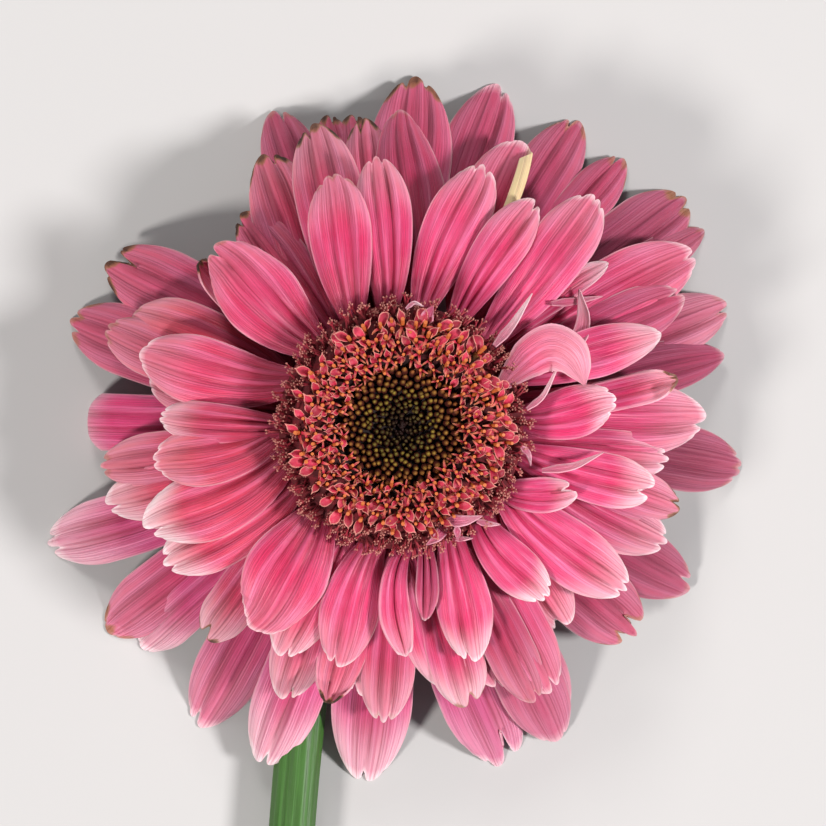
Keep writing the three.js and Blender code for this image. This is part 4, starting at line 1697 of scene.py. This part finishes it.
    def _thread(self, foot: tuple[float, float], lean: tuple[float, float], start: float, length: float,
                radius: float) -> Any:
        """Models a straight or leaning thread with two rings between its ends.

        Args:
            foot: Where it begins.
            lean: How far it moves sideways on each millimetre.
            start: The height of its foot.
            length: Its length in millimetres.
            radius: Its radius in millimetres.

        Returns:
            The thread.
        """
        Bench.clear()
        bpy.ops.mesh.primitive_cylinder_add(vertices=5, radius=radius * MM, depth=length * MM)
        thread = bpy.context.object
        bpy.ops.object.mode_set(mode="EDIT")
        for cut in (-0.2, 0.15):
            bpy.ops.mesh.select_all(action="SELECT")
            bpy.ops.mesh.bisect(plane_co=(0, 0, length * MM * cut), plane_no=(0, 0, 1))
        bpy.ops.object.mode_set(mode="OBJECT")
        points = Bench.coordinates(thread) / MM
        run = points[:, 2] + length / 2
        x = foot[0] + points[:, 0] * (1.1 - 0.3 * run / length) + lean[0] * run
        y = foot[1] + points[:, 1] * (1.1 - 0.3 * run / length) + lean[1] * run
        Bench.place(thread, np.stack([x, y, start + run], 1) * MM)
        Bench.store(thread, "tip", np.clip((start + run) / 3.6, 0, 1))
        return thread

    def bed(self, material: Any) -> None:
        """Lays the dark bed that shows between the florets; its near black is painted shade.

        Args:
            material: Its finish.
        """
        piece = Bench.grid("disc_shade_bed", 72, 30)
        flat = Bench.coordinates(piece)
        bearing = (flat[:, 0] + 0.5) * 360
        radius = 0.05 + (flat[:, 1] + 0.5) * 19.3
        places = np.array([0, 3, 6, 9, 9.8, 12, 16, 17.4, 18.6, 19.4])
        below = np.array([0.9, 0.9, 1.0, 1.1, 1.3, 1.9, 2.2, 2.0, 2.6, 4.0])
        heights = []
        for stop in places:
            name = "bud_disc" if stop < 9.3 else "floret_ring" if stop < 17 else "withered_ring"
            around = [self._ground(*polar(b, min(stop, 19.0)), name, 33.0) for b in range(0, 360, 24)]
            heights.append(float(np.median(around)))
        z = np.interp(radius, places, np.array(heights) - below)
        x, y = polar(bearing, radius)
        Bench.place(piece, self.solids.world(np.stack([x, y, z], 1)))
        Bench.outward(piece, weld=0.00001)
        Bench.modify(piece, "SOLIDIFY", thickness=0.5 * MM, offset=-1)
        spots = Bench.coordinates(piece)[:, :2] / MM - np.array(self.solids.centre)
        Bench.store(piece, "far", smooth((np.hypot(spots[:, 0], spots[:, 1]) - 9) / 6))
        Bench.smooth(piece, 50)
        Bench.hand_over(piece, material, "buds")

    def build(self, bed: Any, bud: Any, floret: Any, withered: Any) -> None:
        """Lays the bed and plants the buds and florets.

        Args:
            bed: The bed's finish.
            bud: The buds' finish.
            floret: The open florets' finish.
            withered: The withered florets' finish.
        """
        self.bed(bed)
        self._plant_buds(bud)
        self._plant_florets(floret)
        self._plant_withered(withered)

    def _finish(self, patterns: Sequence[Any], copies: Sequence[Any], name: str, material: Any,
                slot: str, node: str) -> None:
        """Joins copies, removes their patterns and hands the piece over."""
        piece = Bench.join(copies, name)
        for pattern in patterns:
            bpy.data.objects.remove(pattern)
        Bench.hand_over(piece, material, slot, (node,))

    def _plant_buds(self, material: Any) -> None:
        """Plants the buds in the spirals of a sunflower head."""
        draw = Random(5)
        pattern = self.bud_pattern()
        copies = []
        for i in range(2, self.buds):
            distance = self.eye * (i / self.buds) ** 0.6 + draw.uniform(-0.14, 0.14)
            x, y = polar(self.spiral * i + draw.uniform(-16, 16) / distance, distance)
            out = min(distance / self.eye, 1.0)
            ground = self._ground(x, y, "bud_disc", 33.0)
            size = 0.6 + 0.42 * out + draw.uniform(-0.08, 0.08)
            lean = -24 * (1 - out) + 24 * out**2 + draw.uniform(-8, 8)
            height = ground - 1.3 + draw.uniform(-0.25, 0.25)
            matrix = self._set(x, y, height, self.spiral * i, lean, size)
            copies.append(Bench.copy(pattern, matrix, {"out": out, "tint": draw.random()}))
        self._finish([pattern], copies, "disc_buds", material, "buds", "bud_disc")

    def _plant_florets(self, material: Any) -> None:
        """Plants the open florets in rings that carry the spirals on."""
        draw = Random(11)
        patterns = [
            self.floret_pattern((1.35, 2.6, 118), 2.0, 1.9),
            self.floret_pattern((1.2, 2.4, 84), 2.2, 2.3),
            self.floret_pattern((1.5, 2.8, 150), 1.8, 1.7),
            self.floret_pattern((1.0, 2.1, 100), 2.0, 2.5),
        ]
        copies = []
        first, last = self.eye + 0.2, 15.8
        for i in range(self.florets):
            share = (i + 0.5) / self.florets
            distance = math.sqrt(first**2 + (last**2 - first**2) * share) + draw.uniform(-0.25, 0.25)
            bearing = self.spiral * i + draw.uniform(-2, 2)
            x, y = polar(bearing, distance)
            ground = self._ground(x, y, "floret_ring", self._ground(x, y, "bud_disc", 36.0))
            size = 0.8 + 0.28 * share + draw.uniform(-0.16, 0.14)
            away = 12 * math.cos(math.radians(bearing - 25))
            tilt = -10 + 30 * share + away + draw.uniform(-9, 9)
            height = ground - 3.0 + 0.2 * share + draw.uniform(-0.25, 0.25)
            matrix = self._set(x, y, height, bearing, tilt, size, draw.uniform(-70, 70))
            tint = min(1.0, max(0.0, 0.35 + draw.uniform(-0.4, 0.5)))
            copies.append(Bench.copy(draw.choice(patterns), matrix, {"tint": tint}))
        self._finish(patterns, copies, "open_florets", material, "florets", "floret_ring")

    def _plant_withered(self, material: Any) -> None:
        """Plants the withered fringe, which spills over the feet of the petals."""
        draw = Random(23)
        patterns = [self.withered_pattern(b, c) for b, c in ((35, 0.5), (70, 0.9), (20, 0.7), (95, 0.4))]
        copies = []
        for i in range(self.withered):
            share = draw.random() ** 0.85
            distance = 15.6 + 3.4 * share
            bearing = 360 * i / self.withered + draw.uniform(-1.5, 1.5)
            x, y = polar(bearing, distance)
            ground = self._ground(x, y, "withered_ring", self._ground(x, y, "floret_ring", 35.0))
            size = 0.66 + draw.uniform(-0.12, 0.14)
            tilt = 2 + 46 * share + draw.uniform(-16, 16)
            height = ground - 1.9 - 0.4 * share + draw.uniform(-0.3, 0.3)
            matrix = self._set(x, y, height, bearing + draw.uniform(-30, 30), tilt, size)
            copies.append(Bench.copy(draw.choice(patterns), matrix, {"tint": draw.random()}))
        self._finish(patterns, copies, "withered_florets", material, "withered", "withered_ring")


# ---- Studio --------------------------------------------------------------------------------


@dataclass
class Studio:
    """The table top, soft lamps and a camera that looks straight down on the head."""

    solids: Solids
    plane: float = 18.0
    distance: float = 1100.0
    frame_width: float = 132.2
    offset: tuple[float, float] = (1.9, 2.2)

    def floor(self) -> None:
        """Lays the table top."""
        Bench.clear()
        bpy.ops.mesh.primitive_plane_add(size=6, location=(0, 0, 0))
        top = bpy.context.object
        top.name = "table_top"
        top.data.materials.append(FloorFinish().material())

    def lamp(self, name: str, place: Sequence[float], size: float, watts: float, tone: Colour) -> None:
        """Hangs a soft lamp that faces the head.

        Args:
            name: The lamp's name.
            place: Where, in metres from the head.
            size: Its width in metres.
            watts: Its power.
            tone: Its colour.
        """
        data = bpy.data.lights.new(name, "AREA")
        data.shape = "DISK"
        data.size = size
        data.energy = watts
        data.color = tone
        lamp = bpy.data.objects.new(name, data)
        head = Vector((*(self.solids.centre * MM), 0.02))
        lamp.location = head + Vector(place)
        lamp.rotation_euler = (head - lamp.location).to_track_quat("-Z", "Y").to_euler()
        bpy.context.scene.collection.objects.link(lamp)

    def build(self) -> None:
        """Sets up floor, lamps, sky and camera."""
        self.floor()
        self.lamp("key", (1.7, -0.3, 1.5), 0.45, 56.0, (1.0, 0.97, 0.97))
        self.lamp("left", (-1.3, -1.2, 1.45), 0.45, 40.0, (1.0, 0.96, 0.93))
        self.lamp("top", (-0.4, 1.6, 1.4), 0.7, 16.0, (1.0, 0.98, 0.95))
        world = bpy.data.worlds.new("sky")
        world.use_nodes = True
        world.node_tree.nodes["Background"].inputs[0].default_value = (0.9, 0.92, 1.0, 1)
        world.node_tree.nodes["Background"].inputs[1].default_value = 0.18
        scene = bpy.context.scene
        scene.world = world
        scene.view_settings.view_transform = "Standard"
        data = bpy.data.cameras.new("camera")
        data.sensor_width = 36
        data.lens = 36 * self.distance / self.frame_width
        data.clip_end = 20
        camera = bpy.data.objects.new("camera", data)
        aim = self.solids.centre + Vector(self.offset)
        camera.location = (aim.x * MM, aim.y * MM, (self.plane + self.distance) * MM)
        camera.rotation_euler = (0, 0, 0)
        scene.collection.objects.link(camera)
        scene.camera = camera


def main() -> None:
    """Builds the flower from the table up."""
    logging.basicConfig(level=logging.INFO, format="%(message)s")
    solids = Solids()
    FlowerHead(solids, PetalMaker(solids, PetalFinish().material())).build()
    Stem(solids).build(StemFinish().material())
    Bracts(solids).build(BractFinish().material())
    Disc(solids).build(ShadeBedFinish().material(), BudFinish().material(), FloretFinish().material(),
                       WitheredFinish().material())
    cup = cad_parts["receptacle"]
    cup.data.materials.clear()
    cup.data.materials.append(CupFinish().material())
    Studio(solids).build()
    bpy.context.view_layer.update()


if __name__ == "__main__":
    main()
